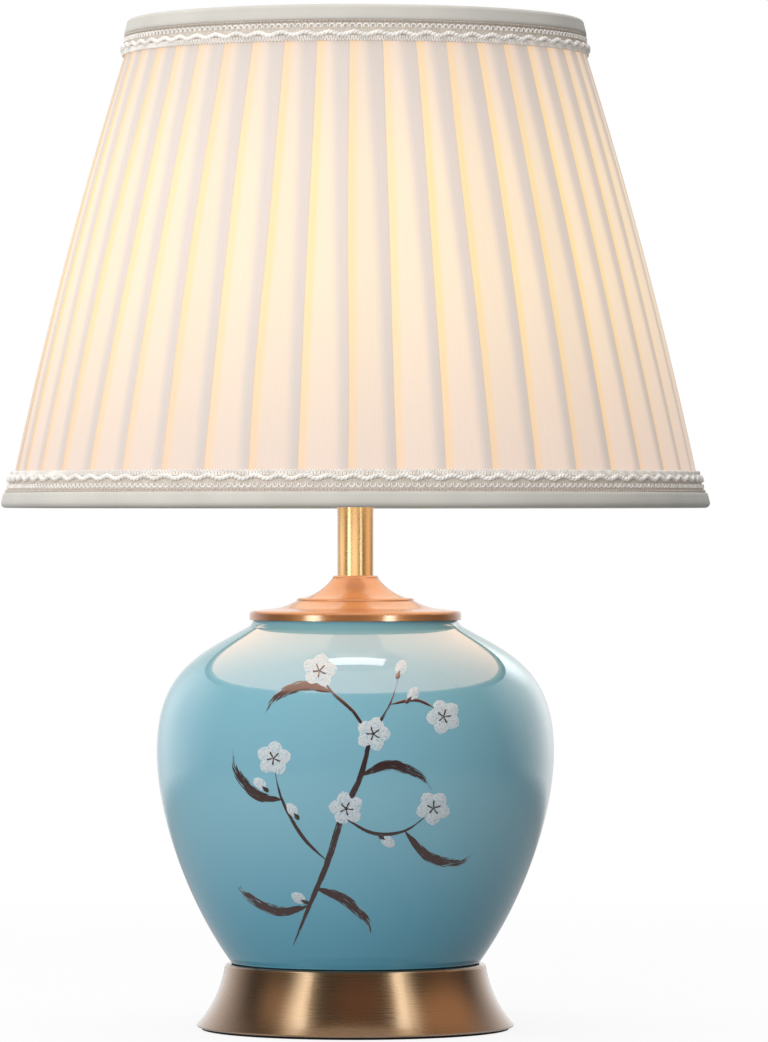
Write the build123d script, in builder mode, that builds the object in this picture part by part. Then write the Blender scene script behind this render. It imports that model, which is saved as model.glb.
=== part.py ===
from build123d import *
from math import cos, radians, sin, sqrt
import os

# Porcelain table lamp, in millimetres. The origin is the centre of the felt pad's underside, +Z is up,
# and the front of the lamp looks along -Y.

# Clearances
thread_clearance = 0.05
slip_clearance = 0.3
screw_clearance = 0.15
cloth_clearance = 0.25

# Felt pad and spun brass base
pad_thickness = 1.2
pad_inset = 2.5
base_foot_radius = 78.6
base_top_radius = 64.7
base_height = 31.2
base_gauge = 1.2
base_hollow = 2.4
base_top_round = 1.5
base_foot_round = 0.9
base_lip = 8.0
cord_hole_radius = 5.0
cord_hole_height = 16.5

# Rod and its foot hardware
rod_radius = 5.0
rod_bore = 3.5
rod_tail = 3.5
rod_head = 9.0
foot_washer_radius = 16.0
foot_washer_thickness = 1.6
star_washer_radius = 9.0
star_washer_thickness = 0.8
star_teeth = 10
star_tooth_depth = 1.6
star_tooth_width = 1.5
nut_across_flats = 14.0
nut_height = 5.0

# Porcelain jar
seat_gasket_thickness = 0.5
seat_gasket_width = 9.0
jar_foot_radius = 61.9
jar_foot_round = 0.6
jar_foot_ring = 10.0
jar_foot_recess = 3.0
jar_belly_radius = 98.5
jar_belly_height = 104.6
jar_height = 172.2
jar_lip_height = 1.7
jar_neck_round = 5.0
jar_flank_angle = 35.8
jar_flank_pull = 29.2
jar_belly_pull_low = 37.2
jar_belly_pull_high = 39.9
jar_shoulder_angle = 28.2
jar_shoulder_pull = 26.8
jar_wall = 5.0
jar_floor = 7.0
jar_mouth_radius = 44.0
jar_rod_hole_radius = 6.5

# Spun brass cap
mouth_gasket_thickness = 0.9
mouth_gasket_width = 5.0
cap_radius = 52.5
cap_gauge = 1.0
cap_lip_clearance = 0.8
cap_skirt = 4.5
cap_rim_round = 1.8
cap_cone_foot_radius = 40.0
cap_cone_foot_rise = 1.2
cap_cone_top_radius = 29.2
cap_cone_top_rise = 5.0
cap_cone_hollow = 0.5
cap_step_width = 2.0
cap_step_rise = 1.1
cap_bell_top_radius = 11.4
cap_bell_hollow = 1.75
cap_top_rise = 17.5
cap_top_round = 1.3

# Neck tube and its bushes
tube_radius = 9.0
tube_gauge = 1.0
tube_length = 51.0
bush_height = 4.0

# Lampholder
boss_radius = 11.0
boss_height = 6.0
grub_radius = 2.0
cup_radius = 20.5
cup_wall = 1.9
cup_height = 28.0
cup_shoulder_rise = 9.0
cup_roof = 2.0
core_seat_rise = 17.0
core_seat_width = 1.8
core_flange_thickness = 5.0
core_platform_radius = 15.2
core_platform_height = 4.0
barrel_radius = 19.5
barrel_bore = 16.5
barrel_height = 27.0
flange_radius = 24.0
flange_thickness = 3.0
screw_shell_wall = 0.4
screw_shell_height = 25.0
terminal_offset = 9.0
terminal_shank_radius = 1.5
terminal_shank_length = 6.5
terminal_head_radius = 3.0
terminal_head_height = 2.2
leaf_width = 5.0
leaf_gauge = 0.5
leaf_rise = 2.0
leaf_foot = 6.0
leaf_ramp = 3.0
leaf_reach = 3.0

# Shade ring
ring_radius = 25.5
ring_skirt_radius = 23.0
ring_height = 7.0
ring_flange_height = 2.6
ring_edge_round = 0.8

# Bulb with a 27 mm screw cap
bulb_cap_radius = 13.1
bulb_cap_height = 22.0
bulb_cap_taper = 2.5
bulb_insulator_height = 4.0
bulb_insulator_radius = 9.5
bulb_tip_radius = 4.8
bulb_tip_height = 1.5
bulb_tip_round = 0.7
bulb_neck_radius = 13.4
bulb_radius = 30.0
bulb_length = 108.0
bulb_wall = 1.0
bulb_neck_pull = 24.0
bulb_globe_pull = 20.0

# Shade: carrier, liner, pleated cloth and trim
fitter_clearance = 0.8
fitter_radius = 28.0
fitter_thickness = 2.0
fitter_above_rim = 48.5
arm_count = 3
arm_radius = 1.5
arm_weld = 0.5
wire_radius = 1.6
shade_height = 241.5
shade_bottom_radius = 172.4
shade_top_radius = 108.9
shade_bow = 3.5
pleat_count = 45
pleat_depth = 2.0
pleat_phase = -1.1
pleat_step_angle = 0.6
pleat_bands = 4
cloth_thickness = 0.8
liner_gauge = 0.8
binding_height = 7.5
binding_gauge = 1.2
binding_proud = 3.3
binding_bulge = 0.35
braid_height = 10.5
braid_edge_proud = 1.4
braid_bulge = 0.6
trim_gap = 0.2

# Heights, from the table up
base_top = pad_thickness + base_height
web_underside = base_top - base_gauge
washer_underside = web_underside - foot_washer_thickness
star_underside = washer_underside - star_washer_thickness
nut_underside = star_underside - nut_height
rod_bottom = nut_underside - rod_tail
jar_bottom = base_top + seat_gasket_thickness
jar_top = jar_bottom + jar_height
cap_underside = jar_top + mouth_gasket_thickness
cap_flange_top = cap_underside + cap_gauge
cap_top = cap_flange_top + cap_top_rise
cup_bottom = cap_top + tube_length
rod_top = cup_bottom + rod_head
core_seat = cup_bottom + core_seat_rise
core_flange_top = core_seat + core_flange_thickness
core_top = core_flange_top + core_platform_height
flange_bottom = cup_bottom + cup_height
flange_top = flange_bottom + flange_thickness
fitter_top = flange_top + fitter_thickness
barrel_top = flange_top + barrel_height
tip_bottom = core_top + leaf_rise + leaf_gauge
insulator_bottom = tip_bottom + bulb_tip_height
bulb_cap_bottom = insulator_bottom + bulb_insulator_height
bulb_cap_top = bulb_cap_bottom + bulb_cap_height
bulb_top = tip_bottom + bulb_length
bulb_globe_centre = bulb_top - bulb_radius
shade_bottom = flange_top - fitter_above_rim
shade_top = shade_bottom + shade_height
cloth_bottom = shade_bottom + binding_gauge + trim_gap
cloth_top = shade_top - binding_gauge - trim_gap

# Radii that follow from their neighbours
rod_slip_radius = rod_radius + slip_clearance
rod_thread_radius = rod_radius + thread_clearance
jar_lip_radius = cap_radius - cap_gauge - cap_lip_clearance
cup_bore = cup_radius - cup_wall
core_seat_radius = cup_bore - core_seat_width
screw_shell_bore = bulb_cap_radius + slip_clearance
fitter_bore = barrel_radius + fitter_clearance
ring_bore = barrel_radius + slip_clearance
liner_inset = pleat_depth + cloth_thickness + cloth_clearance
ring_inset = liner_inset + liner_gauge + cloth_clearance + wire_radius

os.makedirs("parts", exist_ok=True)


def save(piece, name):
    """Labels a finished piece and writes it as its own file."""
    piece.part.label = name
    export_step(piece.part, f"parts/{name}.step")


def crest_radius(z):
    """Radius of the pleats' outer folds at a height: a cone whose side bows outwards."""
    share = (z - shade_bottom) / shade_height
    cone = shade_bottom_radius + (shade_top_radius - shade_bottom_radius) * share
    return cone + 4 * shade_bow * share * (1 - share)


def wall_point(inset, z):
    """A point of the shade's side, some way inside the outer folds."""
    return (crest_radius(z) - inset, z)


def wall_arc(inset, low, high):
    """The bowed side of the shade between two heights."""
    return ThreePointArc(wall_point(inset, low), wall_point(inset, (low + high) / 2), wall_point(inset, high))


# Felt pad
with BuildPart() as base_pad:
    with BuildSketch():
        Circle(base_foot_radius - pad_inset)
    extrude(amount=pad_thickness)
save(base_pad, "base_pad")

# Spun base: an inward lip, a hollow flank and a flat web round the rod. The cord hole is square to the flank.
flank_foot = Vector(base_foot_radius, pad_thickness + base_foot_round)
flank_top = Vector(base_top_radius, base_top - base_top_round)
flank_chord = flank_top - flank_foot
flank_radius = (flank_chord.length ** 2 / 4 + base_hollow ** 2) / (2 * base_hollow)
flank_outward = Vector(flank_chord.Y, -flank_chord.X).normalized()
flank_centre = (flank_foot + flank_top) / 2 + flank_outward * (flank_radius - base_hollow)
flank_middle = (flank_foot + flank_top) / 2 - flank_outward * base_hollow
cord_drop = flank_centre.Y - (pad_thickness + cord_hole_height)
cord_reach = sqrt(flank_radius ** 2 - cord_drop ** 2)
cord_plane = Plane(
    origin=(0, flank_centre.X - cord_reach, pad_thickness + cord_hole_height),
    x_dir=(1, 0, 0),
    z_dir=(0, cord_reach, cord_drop),
)
quarter_turn = sin(radians(45))
with BuildPart() as base_shell:
    with BuildSketch(Plane.XZ):
        with BuildLine():
            foot_round_end = (base_foot_radius - base_foot_round, pad_thickness)
            web_edge = (base_top_radius - base_top_round, base_top)
            Line((foot_round_end[0] - base_lip, pad_thickness), foot_round_end)
            ThreePointArc(
                foot_round_end,
                (
                    foot_round_end[0] + base_foot_round * quarter_turn,
                    flank_foot.Y - base_foot_round * quarter_turn,
                ),
                (flank_foot.X, flank_foot.Y),
            )
            ThreePointArc(
                (flank_foot.X, flank_foot.Y), (flank_middle.X, flank_middle.Y), (flank_top.X, flank_top.Y)
            )
            ThreePointArc(
                (flank_top.X, flank_top.Y),
                (web_edge[0] + base_top_round * quarter_turn, flank_top.Y + base_top_round * quarter_turn),
                web_edge,
            )
            Line(web_edge, (rod_slip_radius, base_top))
            offset(amount=base_gauge, side=Side.LEFT)
        make_face()
    revolve(axis=Axis.Z)
    with BuildSketch(cord_plane):
        Circle(cord_hole_radius)
    extrude(amount=cord_hole_radius, both=True, mode=Mode.SUBTRACT)
save(base_shell, "base_shell")

# Foot hardware, hung under the web
with BuildPart() as foot_washer:
    with BuildSketch(Plane.XY.offset(washer_underside)):
        Circle(foot_washer_radius)
        Circle(rod_slip_radius, mode=Mode.SUBTRACT)
    extrude(amount=foot_washer_thickness)
save(foot_washer, "foot_washer")

with BuildPart() as star_washer:
    with BuildSketch(Plane.XY.offset(star_underside)):
        Circle(star_washer_radius)
        Circle(rod_slip_radius, mode=Mode.SUBTRACT)
        with PolarLocations(star_washer_radius, star_teeth):
            Rectangle(2 * star_tooth_depth, star_tooth_width, mode=Mode.SUBTRACT)
    extrude(amount=star_washer_thickness)
save(star_washer, "star_washer")

with BuildPart() as foot_nut:
    with BuildSketch(Plane.XY.offset(nut_underside)):
        RegularPolygon(nut_across_flats / 2, 6, major_radius=False)
        Circle(rod_thread_radius, mode=Mode.SUBTRACT)
    extrude(amount=nut_height)
save(foot_nut, "foot_nut")

with BuildPart() as threaded_rod:
    with BuildSketch(Plane.XY.offset(rod_bottom)):
        Circle(rod_radius)
        Circle(rod_bore, mode=Mode.SUBTRACT)
    extrude(amount=rod_top - rod_bottom)
save(threaded_rod, "threaded_rod")

# Gasket under the jar's foot ring
jar_foot_flat = jar_foot_radius - jar_foot_round
with BuildPart() as seat_gasket:
    with BuildSketch(Plane.XY.offset(base_top)):
        Circle(jar_foot_flat)
        Circle(jar_foot_flat - seat_gasket_width, mode=Mode.SUBTRACT)
    extrude(amount=seat_gasket_thickness)
save(seat_gasket, "seat_gasket")

# Jar: a flank and a shoulder that meet upright at the belly, and a small hollow up to the lip
belly = Vector(jar_belly_radius, jar_bottom + jar_belly_height)
lip_start = Vector(jar_lip_radius, jar_top - jar_lip_height)
flank_start = Vector(jar_foot_radius, jar_bottom + jar_foot_round)
flank_lean = Vector(sin(radians(jar_flank_angle)), cos(radians(jar_flank_angle)))
shoulder_fall = Vector(cos(radians(jar_shoulder_angle)), -sin(radians(jar_shoulder_angle)))
shoulder = lip_start + Vector(1 + shoulder_fall.Y, -shoulder_fall.X) * jar_neck_round


def flat(vector):
    """A vector's first two numbers, as a point of a sketch."""
    return (vector.X, vector.Y)


with BuildPart() as vase:
    with BuildSketch(Plane.XZ):
        with BuildLine():
            Line((jar_rod_hole_radius, jar_bottom), (jar_foot_flat, jar_bottom))
            TangentArc((jar_foot_flat, jar_bottom), flat(flank_start), tangent=(1, 0))
            Bezier(
                flat(flank_start),
                flat(flank_start + flank_lean * jar_flank_pull),
                (belly.X, belly.Y - jar_belly_pull_low),
                flat(belly),
            )
            Bezier(
                flat(belly),
                (belly.X, belly.Y + jar_belly_pull_high),
                flat(shoulder + shoulder_fall * jar_shoulder_pull),
                flat(shoulder),
            )
            TangentArc(flat(shoulder), flat(lip_start), tangent=flat(shoulder_fall * -1))
            Line(flat(lip_start), (jar_lip_radius, jar_top))
            Line((jar_lip_radius, jar_top), (jar_rod_hole_radius, jar_top))
            Line((jar_rod_hole_radius, jar_top), (jar_rod_hole_radius, jar_bottom))
        make_face()
    revolve(axis=Axis.Z)
    with BuildSketch(Plane.XY.offset(jar_bottom)):
        Circle(jar_foot_flat - jar_foot_ring)
    extrude(amount=jar_foot_recess, mode=Mode.SUBTRACT)
    with BuildSketch(Plane.XZ):
        with BuildLine():
            floor = jar_bottom + jar_foot_recess + jar_floor
            floor_rise = floor - flank_start.Y
            floor_radius = jar_foot_radius - jar_wall + floor_rise * flank_lean.X / flank_lean.Y
            shoulder_low = shoulder.Y - jar_wall
            Line((0, floor), (floor_radius, floor))
            Bezier(
                (floor_radius, floor),
                (floor_radius + flank_lean.X * jar_flank_pull, floor + flank_lean.Y * jar_flank_pull),
                (belly.X - jar_wall, belly.Y - jar_belly_pull_low),
                (belly.X - jar_wall, belly.Y),
            )
            Bezier(
                (belly.X - jar_wall, belly.Y),
                (belly.X - jar_wall, belly.Y + jar_belly_pull_high - jar_wall),
                (
                    jar_mouth_radius + jar_shoulder_pull * shoulder_fall.X,
                    shoulder_low + jar_shoulder_pull * shoulder_fall.Y,
                ),
                (jar_mouth_radius, shoulder_low),
            )
            Line((jar_mouth_radius, shoulder_low), (jar_mouth_radius, jar_top))
            Line((jar_mouth_radius, jar_top), (0, jar_top))
            Line((0, jar_top), (0, floor))
        make_face()
    revolve(axis=Axis.Z, mode=Mode.SUBTRACT)
save(vase, "vase")

# Gasket on the lip
with BuildPart() as mouth_gasket:
    with BuildSketch(Plane.XY.offset(jar_top)):
        Circle(jar_lip_radius)
        Circle(jar_lip_radius - mouth_gasket_width, mode=Mode.SUBTRACT)
    extrude(amount=mouth_gasket_thickness)
save(mouth_gasket, "mouth_gasket")

# Spun cap: a rounded rim over the lip, a low hollow cone, a step and a hollow bell under the tube
with BuildPart() as vase_cap:
    with BuildSketch(Plane.XZ):
        with BuildLine():
            rim_low = (cap_radius, cap_flange_top - cap_skirt)
            rim_side = (cap_radius, cap_flange_top - cap_rim_round)
            rim_top = (cap_radius - cap_rim_round, cap_flange_top)
            cone_foot = (cap_cone_foot_radius, cap_flange_top + cap_cone_foot_rise)
            cone_top = (cap_cone_top_radius, cap_flange_top + cap_cone_top_rise)
            bell_foot = (cap_cone_top_radius - cap_step_width, cone_top[1] + cap_step_rise)
            bell_top = (cap_bell_top_radius, cap_top - cap_top_round)
            crown = (cap_bell_top_radius - cap_top_round, cap_top)
            Line(rim_low, rim_side)
            TangentArc(rim_side, rim_top, tangent=(0, 1))
            Line(rim_top, cone_foot)
            SagittaArc(cone_foot, cone_top, cap_cone_hollow)
            TangentArc(cone_top, bell_foot, tangent=(0, 1))
            SagittaArc(bell_foot, bell_top, cap_bell_hollow)
            TangentArc(bell_top, crown, tangent=(0, 1))
            Line(crown, (rod_slip_radius, cap_top))
            offset(amount=cap_gauge, side=Side.LEFT)
        make_face()
    revolve(axis=Axis.Z)
save(vase_cap, "vase_cap")

# Neck tube, kept on the rod by a bush at each end
tube_bore = tube_radius - tube_gauge
with BuildPart() as neck_tube:
    with BuildSketch(Plane.XY.offset(cap_top)):
        Circle(tube_radius)
        Circle(tube_bore, mode=Mode.SUBTRACT)
    extrude(amount=tube_length)
save(neck_tube, "neck_tube")

with BuildPart() as tube_bushes:
    for bush_bottom in (cap_top, cup_bottom - bush_height):
        with BuildSketch(Plane.XY.offset(bush_bottom)):
            Circle(tube_bore - thread_clearance)
            Circle(rod_slip_radius, mode=Mode.SUBTRACT)
        extrude(amount=bush_height)
save(tube_bushes, "tube_bushes")

# Lampholder cup, screwed on the rod and locked by a grub screw at the back
grub_plane = Plane(origin=(0, rod_thread_radius, cup_bottom + boss_height / 2), z_dir=(0, 1, 0))
grub_length = boss_radius - rod_thread_radius
with BuildPart() as holder_cup:
    with BuildSketch(Plane.XZ):
        with BuildLine():
            boss_top = cup_bottom + boss_height
            roof = boss_top + cup_roof
            shoulder_end = boss_top + cup_shoulder_rise
            Polyline(
                (boss_radius, boss_top),
                (boss_radius, cup_bottom),
                (rod_thread_radius, cup_bottom),
                (rod_thread_radius, roof),
                (boss_radius, roof),
            )
            TangentArc((boss_radius, roof), (core_seat_radius, shoulder_end), tangent=(1, 0))
            Polyline(
                (core_seat_radius, shoulder_end),
                (core_seat_radius, core_seat),
                (cup_bore, core_seat),
                (cup_bore, flange_bottom),
                (cup_radius, flange_bottom),
                (cup_radius, shoulder_end),
            )
            TangentArc((cup_radius, shoulder_end), (boss_radius, boss_top), tangent=(0, -1))
        make_face()
    revolve(axis=Axis.Z)
    with BuildSketch(grub_plane):
        Circle(grub_radius + thread_clearance)
    extrude(amount=2 * grub_length, mode=Mode.SUBTRACT)
save(holder_cup, "holder_cup")

with BuildPart() as holder_grub_screw:
    with BuildSketch(grub_plane):
        Circle(grub_radius)
    extrude(amount=grub_length)
    with BuildSketch(grub_plane.offset(grub_length)):
        RegularPolygon(grub_radius / 2, 6)
    extrude(amount=-grub_length / 2, mode=Mode.SUBTRACT)
save(holder_grub_screw, "holder_grub_screw")

# Porcelain core, seated in the cup, with a terminal on each side
terminal_spots = [(-terminal_offset, 0), (terminal_offset, 0)]
with BuildPart() as holder_core:
    with BuildSketch(Plane.XY.offset(core_seat)):
        Circle(cup_bore - screw_clearance)
    extrude(amount=core_flange_thickness)
    with BuildSketch(Plane.XY.offset(core_flange_top)):
        Circle(core_platform_radius)
    extrude(amount=core_platform_height)
    with BuildSketch(Plane.XY.offset(core_seat)):
        with Locations(*terminal_spots):
            Circle(terminal_shank_radius + screw_clearance)
    extrude(amount=terminal_shank_length, mode=Mode.SUBTRACT)
save(holder_core, "holder_core")

with BuildPart() as terminal_screws:
    with BuildSketch(Plane.XY.offset(core_seat - terminal_head_height)):
        with Locations(*terminal_spots):
            Circle(terminal_head_radius)
    extrude(amount=terminal_head_height)
    with BuildSketch(Plane.XY.offset(core_seat)):
        with Locations(*terminal_spots):
            Circle(terminal_shank_radius)
    extrude(amount=terminal_shank_length)
save(terminal_screws, "terminal_screws")

# Springy centre contact and the brass screw shell, both on the core
with BuildPart() as contact_leaf:
    with BuildSketch(Plane.XZ):
        with BuildLine():
            Polyline(
                (-leaf_foot - leaf_ramp, core_top),
                (-leaf_ramp, core_top),
                (0, core_top + leaf_rise),
                (leaf_reach, core_top + leaf_rise),
            )
            offset(amount=leaf_gauge, side=Side.LEFT)
        make_face()
    extrude(amount=leaf_width / 2, both=True)
save(contact_leaf, "contact_leaf")

with BuildPart() as screw_shell:
    with BuildSketch(Plane.XY.offset(core_top)):
        Circle(screw_shell_bore + screw_shell_wall)
        Circle(screw_shell_bore, mode=Mode.SUBTRACT)
    extrude(amount=screw_shell_height)
save(screw_shell, "screw_shell")

# Outer shell: a spigot in the cup, the flange that carries the shade, and the threaded barrel
with BuildPart() as holder_shell:
    with BuildSketch(Plane.XZ):
        with BuildLine():
            Polyline(
                (barrel_bore, core_flange_top),
                (cup_bore - screw_clearance, core_flange_top),
                (cup_bore - screw_clearance, flange_bottom),
                (flange_radius, flange_bottom),
                (flange_radius, flange_top),
                (barrel_radius, flange_top),
                (barrel_radius, barrel_top),
                (barrel_bore, barrel_top),
                close=True,
            )
        make_face()
    revolve(axis=Axis.Z)
save(holder_shell, "holder_shell")

# Ring that screws down on the shade's fitter
with BuildPart() as shade_ring:
    with BuildSketch(Plane.XY.offset(fitter_top)):
        Circle(ring_radius)
    extrude(amount=ring_flange_height)
    with BuildSketch(Plane.XY.offset(fitter_top + ring_flange_height)):
        Circle(ring_skirt_radius)
    extrude(amount=ring_height - ring_flange_height)
    fillet(shade_ring.faces().sort_by(Axis.Z)[-1].edges(), ring_edge_round)
    with BuildSketch(Plane.XY.offset(fitter_top)):
        Circle(ring_bore)
    extrude(amount=ring_height, mode=Mode.SUBTRACT)
save(shade_ring, "shade_ring")

# Bulb, from its solder contact up
with BuildPart() as bulb_tip:
    with BuildSketch(Plane.XY.offset(tip_bottom)):
        Circle(bulb_tip_radius)
    extrude(amount=bulb_tip_height)
    fillet(bulb_tip.faces().sort_by(Axis.Z)[0].edges(), bulb_tip_round)
save(bulb_tip, "bulb_tip")

with BuildPart() as bulb_insulator:
    with BuildSketch(Plane.XY.offset(insulator_bottom)):
        Circle(bulb_tip_radius)
    with BuildSketch(Plane.XY.offset(bulb_cap_bottom)):
        Circle(bulb_insulator_radius)
    loft()
save(bulb_insulator, "bulb_insulator")

with BuildPart() as bulb_cap:
    with BuildSketch(Plane.XZ):
        with BuildLine():
            Polyline(
                (0, bulb_cap_bottom),
                (bulb_insulator_radius, bulb_cap_bottom),
                (bulb_cap_radius, bulb_cap_bottom + bulb_cap_taper),
                (bulb_cap_radius, bulb_cap_top),
                (0, bulb_cap_top),
                close=True,
            )
        make_face()
    revolve(axis=Axis.Z)
save(bulb_cap, "bulb_cap")

with BuildPart() as bulb_glass:
    with BuildSketch(Plane.XZ):
        for wall, glass_mode in ((0, Mode.ADD), (bulb_wall, Mode.SUBTRACT)):
            with BuildLine():
                neck = bulb_neck_radius - wall
                globe = bulb_radius - wall
                Bezier(
                    (neck, bulb_cap_top),
                    (neck, bulb_cap_top + bulb_neck_pull),
                    (globe, bulb_globe_centre - bulb_globe_pull),
                    (globe, bulb_globe_centre),
                )
                TangentArc((globe, bulb_globe_centre), (0, bulb_globe_centre + globe), tangent=(0, 1))
                Line((0, bulb_globe_centre + globe), (0, bulb_cap_top))
                Line((0, bulb_cap_top), (neck, bulb_cap_top))
            make_face(mode=glass_mode)
    revolve(axis=Axis.Z)
save(bulb_glass, "bulb_glass")

# Shade carrier: a fitter ring on the lampholder's flange, a wire ring at each rim and arms between
with BuildPart() as fitter_ring:
    with BuildSketch(Plane.XY.offset(flange_top)):
        Circle(fitter_radius)
        Circle(fitter_bore, mode=Mode.SUBTRACT)
    extrude(amount=fitter_thickness)
save(fitter_ring, "fitter_ring")

bottom_wire_height = cloth_bottom + wire_radius
top_wire_height = cloth_top - wire_radius
bottom_wire_radius = crest_radius(bottom_wire_height) - ring_inset
top_wire_radius = crest_radius(top_wire_height) - ring_inset

with BuildPart() as bottom_ring:
    with BuildSketch(Plane.XZ):
        with Locations((bottom_wire_radius, bottom_wire_height)):
            Circle(wire_radius)
    revolve(axis=Axis.Z)
save(bottom_ring, "bottom_ring")

with BuildPart() as top_ring:
    with BuildSketch(Plane.XZ):
        with Locations((top_wire_radius, top_wire_height)):
            Circle(wire_radius)
    revolve(axis=Axis.Z)
save(top_ring, "top_ring")

with BuildPart() as fitter_arms:
    for arm in range(arm_count):
        turn = radians(90 + 360 * arm / arm_count)
        outwards = Vector(cos(turn), sin(turn), 0)
        inner_end = outwards * (fitter_radius - arm_weld) + Vector(0, 0, flange_top + fitter_thickness / 2)
        outer_end = outwards * bottom_wire_radius + Vector(0, 0, bottom_wire_height)
        reach = outer_end - inner_end
        with BuildSketch(Plane(origin=inner_end, z_dir=reach)):
            Circle(arm_radius)
        extrude(amount=reach.length)
    add(fitter_ring.part, mode=Mode.SUBTRACT)
    add(bottom_ring.part, mode=Mode.SUBTRACT)
save(fitter_arms, "fitter_arms")

# Stiff liner behind the cloth
with BuildPart() as shade_lining:
    with BuildSketch(Plane.XZ):
        with BuildLine():
            outer_face = liner_inset
            inner_face = liner_inset + liner_gauge
            wall_arc(outer_face, cloth_bottom, cloth_top)
            Line(wall_point(outer_face, cloth_top), wall_point(inner_face, cloth_top))
            wall_arc(inner_face, cloth_bottom, cloth_top)
            Line(wall_point(outer_face, cloth_bottom), wall_point(inner_face, cloth_bottom))
        make_face()
    revolve(axis=Axis.Z)
save(shade_lining, "shade_lining")


def pleat_outline(z):
    """The folded edge of the cloth at a height: each panel rises to its fold and drops to the next panel."""
    corners = []
    for pleat in range(pleat_count):
        fold = -90 + pleat_phase + 360 * pleat / pleat_count
        for angle, radius in (
            (fold, crest_radius(z)),
            (fold + pleat_step_angle, crest_radius(z) - pleat_depth),
        ):
            corners.append((radius * cos(radians(angle)), radius * sin(radians(angle))))
    return corners


# Knife-pleated cloth, as one closed skin
with BuildPart() as pleated_cloth:
    for band in range(pleat_bands + 1):
        level = cloth_bottom + (cloth_top - cloth_bottom) * band / pleat_bands
        with BuildSketch(Plane.XY.offset(level)):
            with BuildLine():
                Polyline(*pleat_outline(level), close=True)
            make_face()
    loft(ruled=True)
    with BuildSketch(Plane.XZ):
        with BuildLine():
            inner_face = pleat_depth + cloth_thickness
            wall_arc(inner_face, cloth_bottom, cloth_top)
            Line(wall_point(inner_face, cloth_top), (0, cloth_top))
            Line((0, cloth_top), (0, cloth_bottom))
            Line((0, cloth_bottom), wall_point(inner_face, cloth_bottom))
        make_face()
    revolve(axis=Axis.Z, mode=Mode.SUBTRACT)
save(pleated_cloth, "pleated_cloth")


def binding_outline(rim, into, wire_ring_radius):
    """Section of the binding: a band outside the cloth that turns over the rim as far as the wire ring."""
    band_end = rim + into * binding_height
    turn = rim + into * binding_gauge
    bulge = rim + into * binding_height / 2
    proud = -binding_proud
    inner_edge = wire_ring_radius - wire_radius
    outer_edge = crest_radius(bulge) + binding_proud + binding_bulge - binding_height / 2
    Line(wall_point(-cloth_clearance, turn), wall_point(-cloth_clearance, band_end))
    Line(wall_point(-cloth_clearance, band_end), wall_point(proud, band_end))
    Line(wall_point(proud, band_end), wall_point(proud - binding_bulge, bulge))
    TangentArc(wall_point(proud - binding_bulge, bulge), (outer_edge, rim), tangent=(0, -into))
    Line((outer_edge, rim), (inner_edge, rim))
    Line((inner_edge, rim), (inner_edge, turn))
    Line((inner_edge, turn), wall_point(-cloth_clearance, turn))


def braid_outline(rim, into):
    """Section of the braid: thick beside the binding and thin at its free edge."""
    near = rim + into * (binding_height + trim_gap)
    far = near + into * braid_height
    middle_proud = (binding_proud + braid_edge_proud) / 2 + braid_bulge
    Line(wall_point(-cloth_clearance, near), wall_point(-binding_proud, near))
    ThreePointArc(
        wall_point(-binding_proud, near),
        wall_point(-middle_proud, (near + far) / 2),
        wall_point(-braid_edge_proud, far),
    )
    Line(wall_point(-braid_edge_proud, far), wall_point(-cloth_clearance, far))
    Line(wall_point(-cloth_clearance, far), wall_point(-cloth_clearance, near))


# Binding over each rim, and the braid beside it
with BuildPart() as bottom_binding:
    with BuildSketch(Plane.XZ):
        with BuildLine():
            binding_outline(shade_bottom, 1, bottom_wire_radius)
        make_face()
    revolve(axis=Axis.Z)
save(bottom_binding, "bottom_binding")

with BuildPart() as top_binding:
    with BuildSketch(Plane.XZ):
        with BuildLine():
            binding_outline(shade_top, -1, top_wire_radius)
        make_face()
    revolve(axis=Axis.Z)
save(top_binding, "top_binding")

with BuildPart() as bottom_braid:
    with BuildSketch(Plane.XZ):
        with BuildLine():
            braid_outline(shade_bottom, 1)
        make_face()
    revolve(axis=Axis.Z)
save(bottom_braid, "bottom_braid")

with BuildPart() as top_braid:
    with BuildSketch(Plane.XZ):
        with BuildLine():
            braid_outline(shade_top, -1)
        make_face()
    revolve(axis=Axis.Z)
save(top_braid, "top_braid")
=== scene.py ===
import math
from typing import NamedTuple

import bpy
import numpy as np
from bpy.props import FloatProperty, FloatVectorProperty, IntProperty, PointerProperty
from mathutils import Matrix, Vector
from mathutils.bvhtree import BVHTree


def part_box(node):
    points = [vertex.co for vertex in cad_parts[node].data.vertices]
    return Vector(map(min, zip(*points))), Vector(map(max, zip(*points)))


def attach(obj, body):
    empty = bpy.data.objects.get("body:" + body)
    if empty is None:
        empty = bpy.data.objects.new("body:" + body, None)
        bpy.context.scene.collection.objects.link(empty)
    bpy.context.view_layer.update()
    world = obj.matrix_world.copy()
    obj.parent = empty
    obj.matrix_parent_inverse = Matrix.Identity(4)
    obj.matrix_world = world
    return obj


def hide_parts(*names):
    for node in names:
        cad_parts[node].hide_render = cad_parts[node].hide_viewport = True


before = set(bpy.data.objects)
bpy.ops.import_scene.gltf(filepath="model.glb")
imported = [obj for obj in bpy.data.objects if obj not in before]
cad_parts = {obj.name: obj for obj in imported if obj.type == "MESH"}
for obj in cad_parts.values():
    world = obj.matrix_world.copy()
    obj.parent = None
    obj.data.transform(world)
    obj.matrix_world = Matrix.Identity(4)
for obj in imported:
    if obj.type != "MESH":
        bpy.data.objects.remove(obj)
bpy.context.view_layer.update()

bl_info = {
    "name": "Porcelain Table Lamp",
    "version": (1, 0, 0),
    "blender": (4, 5, 0),
    "location": "3D View > Sidebar > Lamp",
    "description": "Dresses a table lamp with pleated cloth, scroll braid, brushwork and finishes",
    "category": "Object",
}

MM = 0.001
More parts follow.
